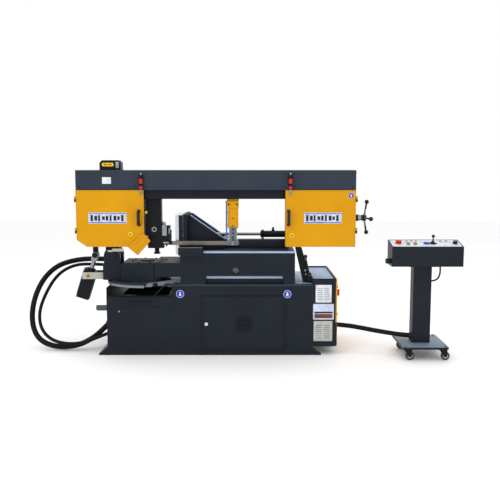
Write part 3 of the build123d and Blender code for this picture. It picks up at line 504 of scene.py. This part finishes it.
for turn in (-1, 1):
    x = -0.871 + turn * 0.020
    outline_plate(form, [(x, 1.640), (x + turn * 0.020, 1.649), (x, 1.658)][::turn], -0.2835, 0.0016)
box(form, (-0.892, -0.2835, 1.6460), (-0.850, -0.2819, 1.6520), 0.0003)
place("box_arrows", form, RED_PLASTIC, "bow", "red_plastic")
form = bmesh.new()
box(form, (-0.804, -0.2840, 1.618), (-0.774, -0.2795, 1.672), 0.004)
place("box_trim", form, STEEL, "bow", "steel")
form = bmesh.new()
box(form, (-0.912, -0.3318, 1.486), (-0.836, -0.3300, 1.542), 0.0006)
place("beam_sticker", form, WHITE_FILM, "bow", "steel")

# ---------------------------------------------------------------- beam and housings
form = bmesh.new()
for x in (-1.108, -0.640, -0.540, 0.634, 0.735, 1.224):
    for z in (1.462, 1.572):
        bolt(form, (x, -0.330, z), FORWARD, 0.0055, True)
for x in (-0.40, 0.21):
    bolt(form, (x, -0.300, 1.394), FORWARD, 0.009)
place("beam_bolts", form, SHADE_PAINT, "bow", "base_paint")
form = bmesh.new()
for x, outward in ((-1.1410, -1), (1.2555, 1)):
    box(form, (x, -0.3240, 1.4400), (x + 0.0015, -0.1160, 1.5940), 0.0006)
    for y in (-0.310, -0.130):
        for z in (1.452, 1.582):
            bolt(form, (x + 0.0008, y, z), (outward, 0, 0), 0.0065, True)
place("beam_end_caps", form, BEAM_PAINT, "bow", "base_paint")
form = bmesh.new()
for x in (-0.55, 0.62):
    box(form, (x, -0.3045, 1.357), (x + 0.02, -0.3000, 1.430), 0.001)
box(form, (-0.558, -0.3030, 1.424), (0.652, -0.3000, 1.431), 0.001)
place("channel_lips", form, SHADE_PAINT, "bow", "base_paint")
form = bmesh.new()
for x0, x1 in ((-1.128, -0.574), (0.667, 1.244)):
    for x in (x0 + 0.02, (x0 + x1) / 2, x1 - 0.02):
        for z in (0.985, 1.405):
            bolt(form, (x, -0.100, z), BACKWARD, 0.008)
place("housing_bolts", form, STEEL, "bow", "steel")
form = bmesh.new()
box(form, (0.680, -0.100, 0.990), (1.232, -0.096, 1.400), 0.002)
place("right_rear_panel", form, SHADE_PAINT, "bow", "base_paint")

# motor: cooling fins, fan cover and the gearbox's bolts
MOTOR_X, MOTOR_Z = -0.850, 1.215
FIN_PITCH = 0.0082
form = bmesh.new()
for step in range(15):
    ring(form, (MOTOR_X, 0.052 + step * FIN_PITCH, MOTOR_Z), BACKWARD, 0.086, 0.099, 0.0028, 48)
place("motor_fins", form, GREY_PAINT, "bow", "grey_unit")
form = bmesh.new()
bar(form, (MOTOR_X, 0.172, MOTOR_Z), (MOTOR_X, 0.190, MOTOR_Z), 0.094, 48, round_edge=0.006)
for spoke in range(12):
    turn = 2 * pi * spoke / 12
    centre = Vector((MOTOR_X, 0.1905, MOTOR_Z)) + Vector((cos(turn), 0, sin(turn))) * 0.055
    bar(form, centre, centre + Vector((0, 0.0016, 0)), 0.010, 12)
place("fan_cover", form, BLACK_PAINT, "bow", "black_paint")
form = bmesh.new()
for x in (-0.942, -0.758):
    for z in (1.096, 1.280):
        bolt(form, (x, 0.040, z), BACKWARD, 0.010)
bar(form, (MOTOR_X, 0.100, 1.335), (MOTOR_X, 0.100, 1.350), 0.012, 20, round_edge=0.001)
place("gearbox_bolts", form, STEEL, "bow", "steel")

# ---------------------------------------------------------------- blade teeth and guides
TOOTH_PITCH, TOOTH_DEPTH, TOOTH_ROOT = 0.008, 0.0045, 0.9492
form = bmesh.new()
for step in range(70):
    x = -0.345 + step * TOOTH_PITCH
    tip = (x + TOOTH_PITCH * 0.25, TOOTH_ROOT - TOOTH_DEPTH)
    outline_plate(form, [(x, TOOTH_ROOT), (x + TOOTH_PITCH * 0.9, TOOTH_ROOT), tip], -0.2206, 0.0012)
place("blade_teeth", form, BLADE_STEEL, "bow", "blade_steel")

form = bmesh.new()
for x, y, z in ((-0.536, -0.268, 1.130), (-0.430, -0.268, 1.130), (-0.536, -0.268, 1.052),
                (-0.525, -0.262, 0.942), (-0.420, -0.262, 0.942), (-0.377, -0.262, 0.950)):
    bolt(form, (x, y, z), FORWARD, 0.008, True)
box(form, (-0.345, -0.262, 0.955), (-0.336, -0.225, 1.085), 0.002)
bar(form, (-0.392, -0.240, 1.120), (-0.392, -0.240, 1.150), 0.006, 16, round_edge=0.001)
box(form, (-0.404, -0.2680, 0.992), (-0.352, -0.2610, 1.024), 0.002)
place("left_guide_bolts", form, BLACK_PAINT, "bow", "black_paint")
form = bmesh.new()
ring(form, (-0.482, -0.268, 1.090), FORWARD, 0.013, 0.022, 0.006)
box(form, (-0.414, -0.2725, 1.034), (-0.374, -0.2615, 1.124), 0.003)
bar(form, (-0.405, -0.270, 0.973), (-0.355, -0.270, 0.973), 0.0105, 24, round_edge=0.002)
bar(form, (-0.353, -0.255, 1.050), (-0.353, -0.255, 1.100), 0.009, 20, round_edge=0.002)
place("left_guide_rollers", form, STEEL, "bow", "steel")
form = bmesh.new()
bar(form, (-0.482, -0.266, 1.090), (-0.482, -0.270, 1.090), 0.013, 24)
place("left_guide_hub", form, BLACK_PLASTIC, "bow", "black_plastic")
form = bmesh.new()
KNOB_X, KNOB_Y, KNOB_RADIUS = -0.470, -0.195, 0.026
bar(form, (KNOB_X, KNOB_Y, 0.868), (KNOB_X, KNOB_Y, 0.884), KNOB_RADIUS, 32, round_edge=0.003)
for ridge in range(16):
    turn = 2 * pi * ridge / 16
    edge = Vector((KNOB_X + KNOB_RADIUS * cos(turn), KNOB_Y + KNOB_RADIUS * sin(turn), 0.869))
    bar(form, edge, edge + UP * 0.013, 0.0026, 8)
place("left_guide_knob", form, BLACK_PLASTIC, "bow", "black_plastic")
form = bmesh.new()
bar(form, (-0.548, -0.268, 1.240), (-0.548, -0.290, 1.240), 0.020, 28, round_edge=0.002)
place("guide_cap_black", form, BLACK_PLASTIC, "bow", "black_plastic")
form = bmesh.new()
bar(form, (-0.548, -0.289, 1.240), (-0.548, -0.294, 1.240), 0.012, 24)
place("guide_cap_yellow", form, YELLOW_PLASTIC, "bow", "yellow_paint")

# right guide arm: slot ribs, steel plate, bolts and coolant tube
form = bmesh.new()
for x in (0.158, 0.236):
    box(form, (x, -0.2680, 1.105), (x + 0.009, -0.2600, 1.335), 0.0015)
box(form, (0.150, -0.2690, 1.272), (0.253, -0.2600, 1.340), 0.002)
place("arm_ribs", form, YELLOW, "guide_arm", "yellow_paint")
form = bmesh.new()
box(form, (0.176, -0.2665, 0.985), (0.228, -0.2615, 1.112), 0.0015)
for x in (0.154, 0.206):
    box(form, (x, -0.2655, 0.953), (x + 0.036, -0.2615, 0.998), 0.0015)
place("arm_plate", form, GREY_PAINT, "guide_arm", "steel")
form = bmesh.new()
for z in (1.090, 1.056, 1.020, 0.998):
    bolt(form, (0.202, -0.2665, z), FORWARD, 0.007, True)
for x in (0.166, 0.238):
    bolt(form, (x, -0.269, 1.306), FORWARD, 0.008)
place("arm_bolts", form, BLACK_PAINT, "guide_arm", "black_paint")
form = bmesh.new()
bar(form, (0.146, -0.250, 1.045), (0.146, -0.250, 1.338), 0.0065, 20)
bar(form, (0.146, -0.250, 1.046), (0.152, -0.248, 1.022), 0.0065, 20)
place("coolant_tube", form, BLUE_TUBE, "guide_arm", "base_paint")
form = bmesh.new()
for z in (1.120, 1.230, 1.320):
    ring(form, (0.146, -0.250, z), UP, 0.0060, 0.0095, 0.012, 20)
bar(form, (0.152, -0.248, 1.024), (0.152, -0.246, 1.004), 0.006, 16, 0.0035)
place("tube_clips", form, STEEL, "guide_arm", "steel")

form = bmesh.new()
box(form, (0.256, -0.246, 0.930), (0.652, -0.198, 0.997), 0.003)
place("band_cover", form, SHADE_PAINT, "bow", "base_paint")
form = bmesh.new()
for x in (0.290, 0.450, 0.610):
    bolt(form, (x, -0.246, 0.984), FORWARD, 0.006, True)
place("band_cover_screws", form, BLACK_PAINT, "bow", "black_paint")

# ---------------------------------------------------------------- vise and bed
form = bmesh.new()
box(form, (-0.2060, -0.1800, 1.000), (-0.2045, 0.195, 1.205), 0.0005)
place("jaw_back", form, CAST_PAINT, "moving_jaw", "cast")
form = bmesh.new()
box(form, (-0.2390, -0.1790, 0.985), (-0.2376, 0.1990, 1.206), 0.0004)
for y0, y1 in ((-0.179, -0.024), (0.064, 0.199)):
    box(form, (-0.2390, y0, 0.912), (-0.2376, y1, 0.983), 0.0004)
place("jaw_face", form, STEEL, "moving_jaw", "steel")
# light bars along the gusset slopes: painted highlight
form = bmesh.new()
for middle in (-0.1105, 0.1295):
    for y in (middle - 0.004, middle + 0.004):
        bar(form, (-0.180, y, 1.204), (0.128, y, 0.989), 0.005, 10)
place("gusset_edges", form, SKY_REFLECTION_PAINT, "moving_jaw", "cast")
form = bmesh.new()
box(form, (-0.2635, -0.4100, 0.8770), (-0.0565, -0.4075, 0.9435), 0.001)
box(form, (-0.0585, -0.4090, 0.8770), (-0.0565, -0.3495, 0.9435), 0.0005)
box(form, (-0.2635, -0.4090, 0.8770), (-0.2615, -0.3795, 0.9435), 0.0005)
box(form, (-0.2785, -0.1818, 0.8595), (-0.2490, -0.1795, 1.2070), 0.0005)
for x in (-0.235, -0.085):
    bolt(form, (x, -0.410, 0.911), FORWARD, 0.006, True)
place("front_block_face", form, CAST_PAINT, "root", "cast")
# a light blue strip on the bed's top: painted sky reflection
form = bmesh.new()
box(form, (-0.050, -0.3815, 0.896), (0.735, -0.3000, 0.9068), 0.0012)
place("bed_top_sky_reflection", form, SKY_REFLECTION_PAINT, "root", "steel")
form = bmesh.new()
for x in (-0.225, -0.165, -0.135, -0.085, 0.285, 0.325, 0.690, 0.716):
    bar(form, (x, -0.3812, 0.822), (x, -0.3795, 0.822), 0.0055, 16)
ring(form, (0.035, -0.3800, 0.845), FORWARD, 0.024, 0.029, 0.0012)
place("bed_plugs", form, BLACK_PAINT, "root", "black_paint")
form = bmesh.new()
bar(form, (0.227, -0.330, 0.740), (0.227, -0.322, 0.740), 0.0275, 32, round_edge=0.002)
place("hole_backing", form, OLIVE_STEEL, "root", "steel")
# a light blue sheet on the base's top: painted sky reflection
form = bmesh.new()
box(form, (0.745, -0.345, 0.6255), (0.886, 0.355, 0.6285), 0.0008)
place("base_top_sky_reflection", form, SKY_REFLECTION_PAINT, "root", "steel")
# a light blue strip in the recess: painted sky reflection
form = bmesh.new()
box(form, (-0.028, -0.3560, 0.672), (0.636, -0.3470, 0.694), 0.001)
place("recess_strip", form, SKY_REFLECTION_PAINT, "root", "steel")
form = bmesh.new()
for x in (0.468, 0.693):
    bolt(form, (x, -0.020, 0.990), FORWARD, 0.008)
for x in (0.480, 0.560, 0.640):
    bolt(form, (x, -0.020, 0.940), FORWARD, 0.010, True)
place("bed_fittings", form, STEEL, "root", "steel")
form = bmesh.new()
for x in (0.453, 0.868):
    bar(form, (x, 0.020, 1.022), (x + 0.014, 0.020, 1.022), 0.036, 32, round_edge=0.002)
for x in (0.560, 0.850):
    bar(form, (x, 0.020, 1.050), (x, 0.020, 1.062), 0.015, 6, round_edge=0.001)
place("vise_cylinder_caps", form, BLACK_PAINT, "root", "black_paint")

# ---------------------------------------------------------------- turntable scale and swivel arm
HEAD_X, HEAD_Y = -0.550, -0.217
SCALE_RADIUS, SCALE_Z = 0.346, 0.6452
form = bmesh.new()
centre = Vector((HEAD_X, HEAD_Y, SCALE_Z))
for step in range(0, 61, 2):
    turn = radians(180 + step)
    inner = SCALE_RADIUS - (0.034 if step % 10 == 0 else 0.018)
    away = Vector((cos(turn), sin(turn), 0))
    across = Vector((-sin(turn), cos(turn), 0)) * 0.0009
    corners = ((inner, -1), (SCALE_RADIUS, -1), (SCALE_RADIUS, 1), (inner, 1))
    flat_plate(form, [centre + away * reach + across * side for reach, side in corners], (0, 0, 0.0008))
place("degree_marks", form, DARK_FILM, "root", "black_plastic")
form = bmesh.new()
for spot in range(8):
    turn = 2 * pi * spot / 8 + 0.3
    bolt(form, (HEAD_X + 0.130 * cos(turn), HEAD_Y + 0.130 * sin(turn), 0.811), UP, 0.010, True)
bar(form, (HEAD_X, HEAD_Y, 0.810), (HEAD_X, HEAD_Y, 0.820), 0.062, 40, round_edge=0.003)
place("swivel_cap", form, BLACK_PAINT, "head", "black_paint")
form = bmesh.new()
for y, outward in ((-0.333, FORWARD), (-0.101, BACKWARD)):
    ring(form, (-0.846, y, 0.865), outward, 0.012, 0.030, 0.003)
    bolt(form, (-0.846, y, 0.865), outward)
for z in (0.680, 0.755):
    for x in (-0.905, -0.778):
        bolt(form, (x, -0.320, z), FORWARD, 0.007)
place("post_bolts", form, BASE_PAINT, "head", "base_paint")
form = bmesh.new()
box(form, (-1.116, -0.2885, 0.656), (-0.928, -0.2858, 0.715), 0.001)
place("bracket_face", form, OLIVE_STEEL, "head", "grey_unit")
form = bmesh.new()
box(form, (-0.838, -0.3400, 0.904), (-0.742, -0.3325, 0.930), 0.003)
box(form, (-0.878, -0.3390, 0.900), (-0.836, -0.3330, 0.916), 0.003)
bar(form, (-0.842, -0.3330, 0.910), (-0.842, -0.3430, 0.910), 0.009, 20, round_edge=0.001)
place("limit_lever", form, OLIVE_STEEL, "head", "steel")

# lift cylinder: screws of its end caps, trunnion nut, blue tube and its ports
trunnion, rod_end = Vector((-1.065, -0.217, 0.684)), Vector((-1.007, -0.217, 0.861))
axis = (rod_end - trunnion).normalized()
across = Vector((axis.z, 0, -axis.x))
tube_middle = trunnion - across * 0.060
form = bmesh.new()
for along in (-0.212, 0.036):
    for side in (-1, 1):
        screw = trunnion + axis * along + across * 0.050 * side + Vector((0, -0.0452, 0))
        bolt(form, screw, FORWARD, 0.006, True)
place("cylinder_screws", form, STEEL, "lift_cylinder", "steel")
form = bmesh.new()
bar(form, trunnion + Vector((0, -0.068, 0)), trunnion + Vector((0, -0.078, 0)), 0.016, 6, round_edge=0.001)
place("trunnion_nut", form, BRASS, "lift_cylinder", "steel")
form = bmesh.new()
bar(form, tube_middle - axis * 0.190, tube_middle + axis * 0.030, 0.006, 20)
place("cylinder_tube", form, BLUE_TUBE, "lift_cylinder", "base_paint")
form = bmesh.new()
for along in (-0.195, 0.030):
    port = tube_middle + axis * along + across * 0.006
    bar(form, port, port + axis * 0.014, 0.010, 6)
place("cylinder_ports", form, STEEL, "lift_cylinder", "steel")

# ---------------------------------------------------------------- base cabinet
form = bmesh.new()
for x0, x1 in ((-0.062, -0.0585), (0.6395, 0.643)):
    box(form, (x0, -0.3935, 0.051), (x1, -0.3915, 0.520), 0.0006)
for z0, z1 in ((0.051, 0.0545), (0.5165, 0.520)):
    box(form, (-0.062, -0.3935, z0), (0.643, -0.3915, z1), 0.0006)
place("door_rim", form, BLACK_PAINT, "base_door", "base_paint")
VENT_X, VENT_Z, VENT_RADIUS = 0.297, 0.276, 0.070
form = bmesh.new()
for step in range(9):
    rise = -0.060 + 0.015 * step
    half = (VENT_RADIUS ** 2 - rise ** 2) ** 0.5
    z = VENT_Z + rise
    box(form, (VENT_X - half, -0.3975, z + 0.0010), (VENT_X + half, -0.3935, z + 0.0042), 0.0008)
ring(form, (VENT_X, -0.3940, VENT_Z), FORWARD, 0.074, 0.080, 0.0025, 64)
place("vent_louvres", form, BASE_PAINT, "base_door", "base_paint")
form = bmesh.new()
for z in (0.082, 0.412):
    box(form, (0.600, -0.3960, z), (0.640, -0.3920, z + 0.040), 0.001)
place("base_hinge_leaves", form, BASE_PAINT, "base_door", "black_paint")
form = bmesh.new()
for z in (0.427, 0.510):
    box(form, (-0.888, -0.3875, z), (-0.317, -0.3838, z + 0.005), 0.001)
place("drawer_folds", form, BASE_PAINT, "chip_drawer", "base_paint")
form = bmesh.new()
bar(form, (-0.783, -0.380, 0.388), (-0.783, -0.384, 0.388), 0.008, 24, round_edge=0.001)
for x in (-0.60, -0.20, 0.20, 0.60):
    for z in (0.560, 0.110):
        bolt(form, (x, 0.380, z), BACKWARD)
place("base_rivets", form, STEEL, "root", "steel")
form = bmesh.new()
box(form, (-0.680, 0.3785, 0.130), (0.680, 0.3830, 0.540), 0.003)
place("base_rear_panel", form, BASE_PAINT, "root", "base_paint")
form = bmesh.new()
for row in range(8):
    z = 0.200 + row * 0.030
    box(form, (0.300, 0.3828, z), (0.560, 0.3880, z + 0.012), 0.002)
place("rear_louvres", form, BASE_PAINT, "root", "base_paint")
form = bmesh.new()
bar(form, (-0.890, -0.050, 0.352), (-1.052, -0.050, 0.352), 0.026, 40, round_edge=0.008)
ring(form, (-0.8900, -0.050, 0.352), (-1, 0, 0), 0.024, 0.042, 0.006)
place("base_side_stub", form, GREY_PAINT, "root", "grey_unit")
form = bmesh.new()
box(form, (-0.314, -0.3815, 0.610), (0.889, -0.3795, 0.6245), 0.0008)
place("base_top_edge", form, BEAM_PAINT, "root", "base_paint")

# ---------------------------------------------------------------- electrics cabinet
# a light blue sheet on the cabinet's top: painted sky reflection
form = bmesh.new()
box(form, (0.896, -0.374, 0.6592), (1.084, 0.381, 0.6620), 0.0008)
place("cabinet_tray_sky_reflection", form, SKY_REFLECTION_PAINT, "root", "steel")
form = bmesh.new()
box(form, (1.0905, -0.3775, 0.082), (1.1060, 0.3845, 0.282), 0.002)
place("cable_panel_skin", form, YELLOW, "root", "yellow_paint")
PLATES = (("upper", WHITE_FILM, (0.916, 0.466), (1.054, 0.620)),
          ("middle", LABEL_FILM, (0.896, 0.316), (1.0755, 0.454)),
          ("lower", GREY_FILM, (0.902, 0.125), (1.064, 0.303)))
for label, film, (x0, z0), (x1, z1) in PLATES:
    form = bmesh.new()
    box(form, (x0, -0.3830, z0), (x1, -0.3798, z1), 0.0012)
    place(label + "_plate", form, film, "root", "steel")
    form = bmesh.new()
    wide, tall = x1 - x0, z1 - z0
    ink = DARK_FILM if label == "middle" else GREY_PAINT
    if label == "middle":
        box(form, (x0 + 0.010, -0.3838, z0 + 0.055), (x1 - 0.010, -0.3826, z0 + 0.070), 0.0004)
    else:
        for column in range(2):
            for row in range(7):
                start, low = x0 + wide * (0.12 + 0.42 * column), z0 + tall * (0.14 + 0.105 * row)
                box(form, (start, -0.3836, low), (start + wide * 0.32, -0.3827, low + tall * 0.030), 0.0003)
    place(label + "_plate_rows", form, ink, "root", "black_plastic")
form = bmesh.new()
box(form, (0.908, -0.3838, 0.328), (1.064, -0.3826, 0.366), 0.0006)
place("middle_plate_foot", form, PRINT_BROWN, "root", "black_plastic")
form = bmesh.new()
for _, _, (x0, z0), (x1, z1) in PLATES:
    for x in (x0 + 0.006, x1 - 0.006):
        for z in (z0 + 0.006, z1 - 0.006):
            bar(form, (x, -0.3828, z), (x, -0.3842, z), 0.0024, 12)
place("plate_rivets", form, STEEL, "root", "steel")
form = bmesh.new()
for x0, y0, x1, y1 in ((0.8885, -0.3815, 1.0915, -0.3735), (1.0835, -0.3810, 1.0915, 0.3880),
                       (0.8885, -0.3810, 0.8965, 0.3880), (0.8885, 0.3805, 1.0915, 0.3885)):
    box(form, (x0, y0, 0.664), (x1, y1, 0.6745), 0.0015)
place("cabinet_rim", form, BLACK_PAINT, "root", "black_paint")
form = bmesh.new()
box(form, (1.1035, -0.366, 0.509), (1.1048, -0.294, 0.581), 0.0005)
place("switch_plate", form, YELLOW_PLASTIC, "cabinet_door", "yellow_paint")
form = bmesh.new()
for z in (0.360, 0.600):
    bar(form, (1.1038, -0.350, z), (1.1110, -0.350, z), 0.012, 24, round_edge=0.001)
place("cabinet_locks", form, BLACK_PLASTIC, "cabinet_door", "black_plastic")

# ---------------------------------------------------------------- bow rest
form = bmesh.new()
box(form, (0.750, -0.296, 0.9405), (0.795, -0.234, 0.9445), 0.001)
place("rest_pad", form, BLACK_PLASTIC, "root", "black_plastic")
form = bmesh.new()
for x, z in ((0.864, 0.640), (0.838, 0.700), (0.832, 0.735)):
    bolt(form, (x, -0.300, z), FORWARD, 0.009)
place("rest_bolts", form, STEEL, "root", "steel")

# ---------------------------------------------------------------- control desk
PANEL_FRONT, PANEL_LOW = -0.480, 0.958  # Y and Z of its front edge
PANEL_DEEP, PANEL_RISE = 0.200, 0.041
slope = atan2(PANEL_RISE, PANEL_DEEP)
PANEL_UP = Vector((0, -sin(slope), cos(slope)))


def on_panel(x, back, height):
    """A point above the desk's sloping panel; back goes from 0 at its front edge to 1 at its rear."""
    return Vector((x, PANEL_FRONT + PANEL_DEEP * back, PANEL_LOW + PANEL_RISE * back)) + PANEL_UP * height


def panel_sheet(form, x0, x1, back0, back1, height, thick):
    """A thin sheet lying at some height above the sloping panel."""
    corners = ((x0, back0), (x1, back0), (x1, back1), (x0, back1))
    flat_plate(form, [on_panel(x, back, height) for x, back in corners], PANEL_UP * thick)


form = bmesh.new()
for x0, x1, back0, back1 in ((1.556, 1.888, 0.05, 0.95), (1.938, 2.144, 0.05, 0.95),
                             (1.888, 1.938, 0.05, 0.38), (1.888, 1.938, 0.62, 0.95)):
    panel_sheet(form, x0, x1, back0, back1, 0.0002, 0.0016)
place("desk_panel_sheet", form, WHITE_PAINT, "root", "steel")
form = bmesh.new()
for x, width in ((1.670, 0.05), (1.735, 0.04), (1.800, 0.05), (1.860, 0.03),
                 (1.985, 0.05), (2.045, 0.04), (2.090, 0.05)):
    panel_sheet(form, x, x + width, 0.62, 0.65, 0.0015, 0.0006)
    panel_sheet(form, x, x + width * 0.6, 0.20, 0.22, 0.0015, 0.0006)
place("panel_marks", form, DARK_FILM, "root", "black_plastic")
form = bmesh.new()
for x0, x1, back0, back1 in ((1.549, 1.5555, 0.01, 0.99), (2.1445, 2.151, 0.01, 0.99),
                             (1.549, 2.151, 0.955, 0.99), (1.549, 2.151, 0.01, 0.045)):
    panel_sheet(form, x0, x1, back0, back1, 0.0001, 0.0035)
place("panel_frame", form, BASE_PAINT, "root", "base_paint")
form = bmesh.new()
bar(form, on_panel(1.620, 0.5, 0.0016), on_panel(1.620, 0.5, 0.0032), 0.034, 40)
place("e_stop_disc", form, YELLOW_PLASTIC, "root", "yellow_paint")
form = bmesh.new()
for x, back, inner in ((1.700, 0.4, 0.0152), (1.760, 0.4, 0.0152), (1.620, 0.5, 0.0255), (2.101, 0.45, 0.0200)):
    ring(form, on_panel(x, back, 0.0016), PANEL_UP, inner, inner + 0.0035, 0.0025, 36)
for x in (1.700, 1.740, 1.780, 1.990, 2.040):
    ring(form, on_panel(x, 0.78, 0.0018), PANEL_UP, 0.006, 0.010, 0.003, 24)
for x in (1.566, 2.134):
    for back in (0.12, 0.88):
        bolt(form, on_panel(x, back, 0.0017), PANEL_UP, 0.0045, True)
place("panel_bezels", form, STEEL, "root", "steel")
for lamps, spots, finish, slot in (("panel_blue_lamps", (1.740, 1.990, 2.040), BLUE_FILM, "base_paint"),
                                   ("panel_red_lamps", (1.700, 1.780), RED_PLASTIC, "red_plastic")):
    form = bmesh.new()
    for x in spots:
        bar(form, on_panel(x, 0.78, 0.0018), on_panel(x, 0.78, 0.0075), 0.0058, 20, round_edge=0.001)
    if finish is BLUE_FILM:  # and the blue display beside them
        box(form, (1.835, -0.4135, 0.9785), (1.875, -0.3700, 0.9925), 0.002)
    place(lamps, form, finish, "root", slot)
form = bmesh.new()
ring(form, on_panel(1.913, 0.5, 0.0001), PANEL_UP, 0.0205, 0.0360, 0.0030, 40)
place("joystick_gaiter", form, BLACK_PLASTIC, "root", "black_plastic")
form = bmesh.new()
box(form, (1.5085, -0.4310, 0.812), (1.5500, -0.3890, 0.853), 0.003)
place("desk_side_fitting", form, BLACK_PLASTIC, "root", "black_plastic")
form = bmesh.new()
for z in (0.330, 0.670):
    for x in (1.788, 1.867):
        bolt(form, (x, -0.414, z), FORWARD, 0.007, True)
for x in (1.665, 2.003):
    for y in (-0.551, -0.137):
        bolt(form, (x, y, 0.118), UP, 0.010)
place("stand_bolts", form, BASE_PAINT, "root", "steel")
form = bmesh.new()
box(form, (1.642, -0.574, 0.1172), (2.026, -0.114, 0.1190), 0.0008)
place("floor_plate_sheet", form, PLATE_PAINT, "root", "steel")
form = bmesh.new()
for x, y in ((1.684, -0.532), (1.984, -0.532), (1.684, -0.156), (1.984, -0.156)):
    bar(form, (x, y, 0.0995), (x, y, 0.1000), 0.026, 24)
place("caster_tops", form, STEEL, "root", "steel")
for corner, x, y in (("front_left", 1.708, -0.532), ("front_right", 2.008, -0.532),
                     ("rear_left", 1.708, -0.156), ("rear_right", 2.008, -0.156)):
    form = bmesh.new()
    for side in (-1, 1):
        ring(form, (x, y + side * 0.0125, 0.037), (0, side, 0), 0.006, 0.021, 0.0012, 28)
    place("hub_" + corner, form, STEEL, "wheel_" + corner, "steel")

# ---------------------------------------------------------------- tension handle trim
HANDLE_Y, HANDLE_Z = -0.220, 1.188
form = bmesh.new()
bar(form, (1.291, HANDLE_Y, HANDLE_Z), (1.325, HANDLE_Y, HANDLE_Z), 0.030, 36, 0.021, round_edge=0.001)
bar(form, (1.361, HANDLE_Y, HANDLE_Z), (1.366, HANDLE_Y, HANDLE_Z), 0.020, 32, round_edge=0.001)
place("tension_collar", form, STEEL, "tension_handle", "steel")
form = bmesh.new()
hub = Vector((1.345, HANDLE_Y, HANDLE_Z))
for turn in (radians(60), radians(180), radians(300)):
    along = Vector((0.036, 0.155 * cos(turn), 0.155 * sin(turn))).normalized()
    bar(form, hub + along * 0.020, hub + along * 0.134, 0.0088, 20, 0.0075)
place("tension_arms", form, STEEL, "tension_handle", "steel")


# ---------------------------------------------------------------- studio
FLOOR_HALF = 14
FLOOR_DARK, FLOOR_LIGHT = (0.955, 0.955, 0.955), (0.975, 0.975, 0.975)
# name, place, size in metres, watts and the point it is aimed at
LAMPS = (("key", (-2.6, -4.2, 4.6), 3.0, 70, (0, 0, 0.8)),
         ("fill", (3.8, -4.6, 2.6), 3.0, 30, (0.6, 0, 0.8)),
         ("top", (0.3, 0.8, 5.0), 4.0, 60, (0.3, 0, 0)))


def make_studio():
    """A pale floor under a white sky, with three broad lamps."""
    form = bmesh.new()
    bmesh.ops.create_grid(form, x_segments=1, y_segments=1, size=FLOOR_HALF)
    mesh = bpy.data.meshes.new("floor")
    form.to_mesh(mesh)
    form.free()
    material, nodes, links, shader, place_at = start_finish("studio_floor")
    shade = ramp(nodes, links, noise(nodes, links, place_at, 0.6, 2), FLOOR_DARK, FLOOR_LIGHT)
    links.new(shade, shader.inputs["Base Color"])
    shader.inputs["Roughness"].default_value = 0.75
    mesh.materials.append(material)
    floor = bpy.data.objects.new("floor", mesh)
    bpy.context.scene.collection.objects.link(floor)
    world = bpy.data.worlds.new("studio")
    world.use_nodes = True
    sky = world.node_tree.nodes["Background"]
    sky.inputs["Color"].default_value = (1, 1, 1, 1)
    sky.inputs["Strength"].default_value = 1.0
    bpy.context.scene.world = world
    for name, spot, size, power, aim in LAMPS:
        light = bpy.data.lights.new(name, "AREA")
        light.size = size
        light.energy = power
        lamp = bpy.data.objects.new(name, light)
        lamp.location = spot
        lamp.rotation_euler = (Vector(aim) - Vector(spot)).to_track_quat("-Z", "Y").to_euler()
        bpy.context.scene.collection.objects.link(lamp)
    bpy.context.scene.view_settings.view_transform = "Standard"


make_studio()
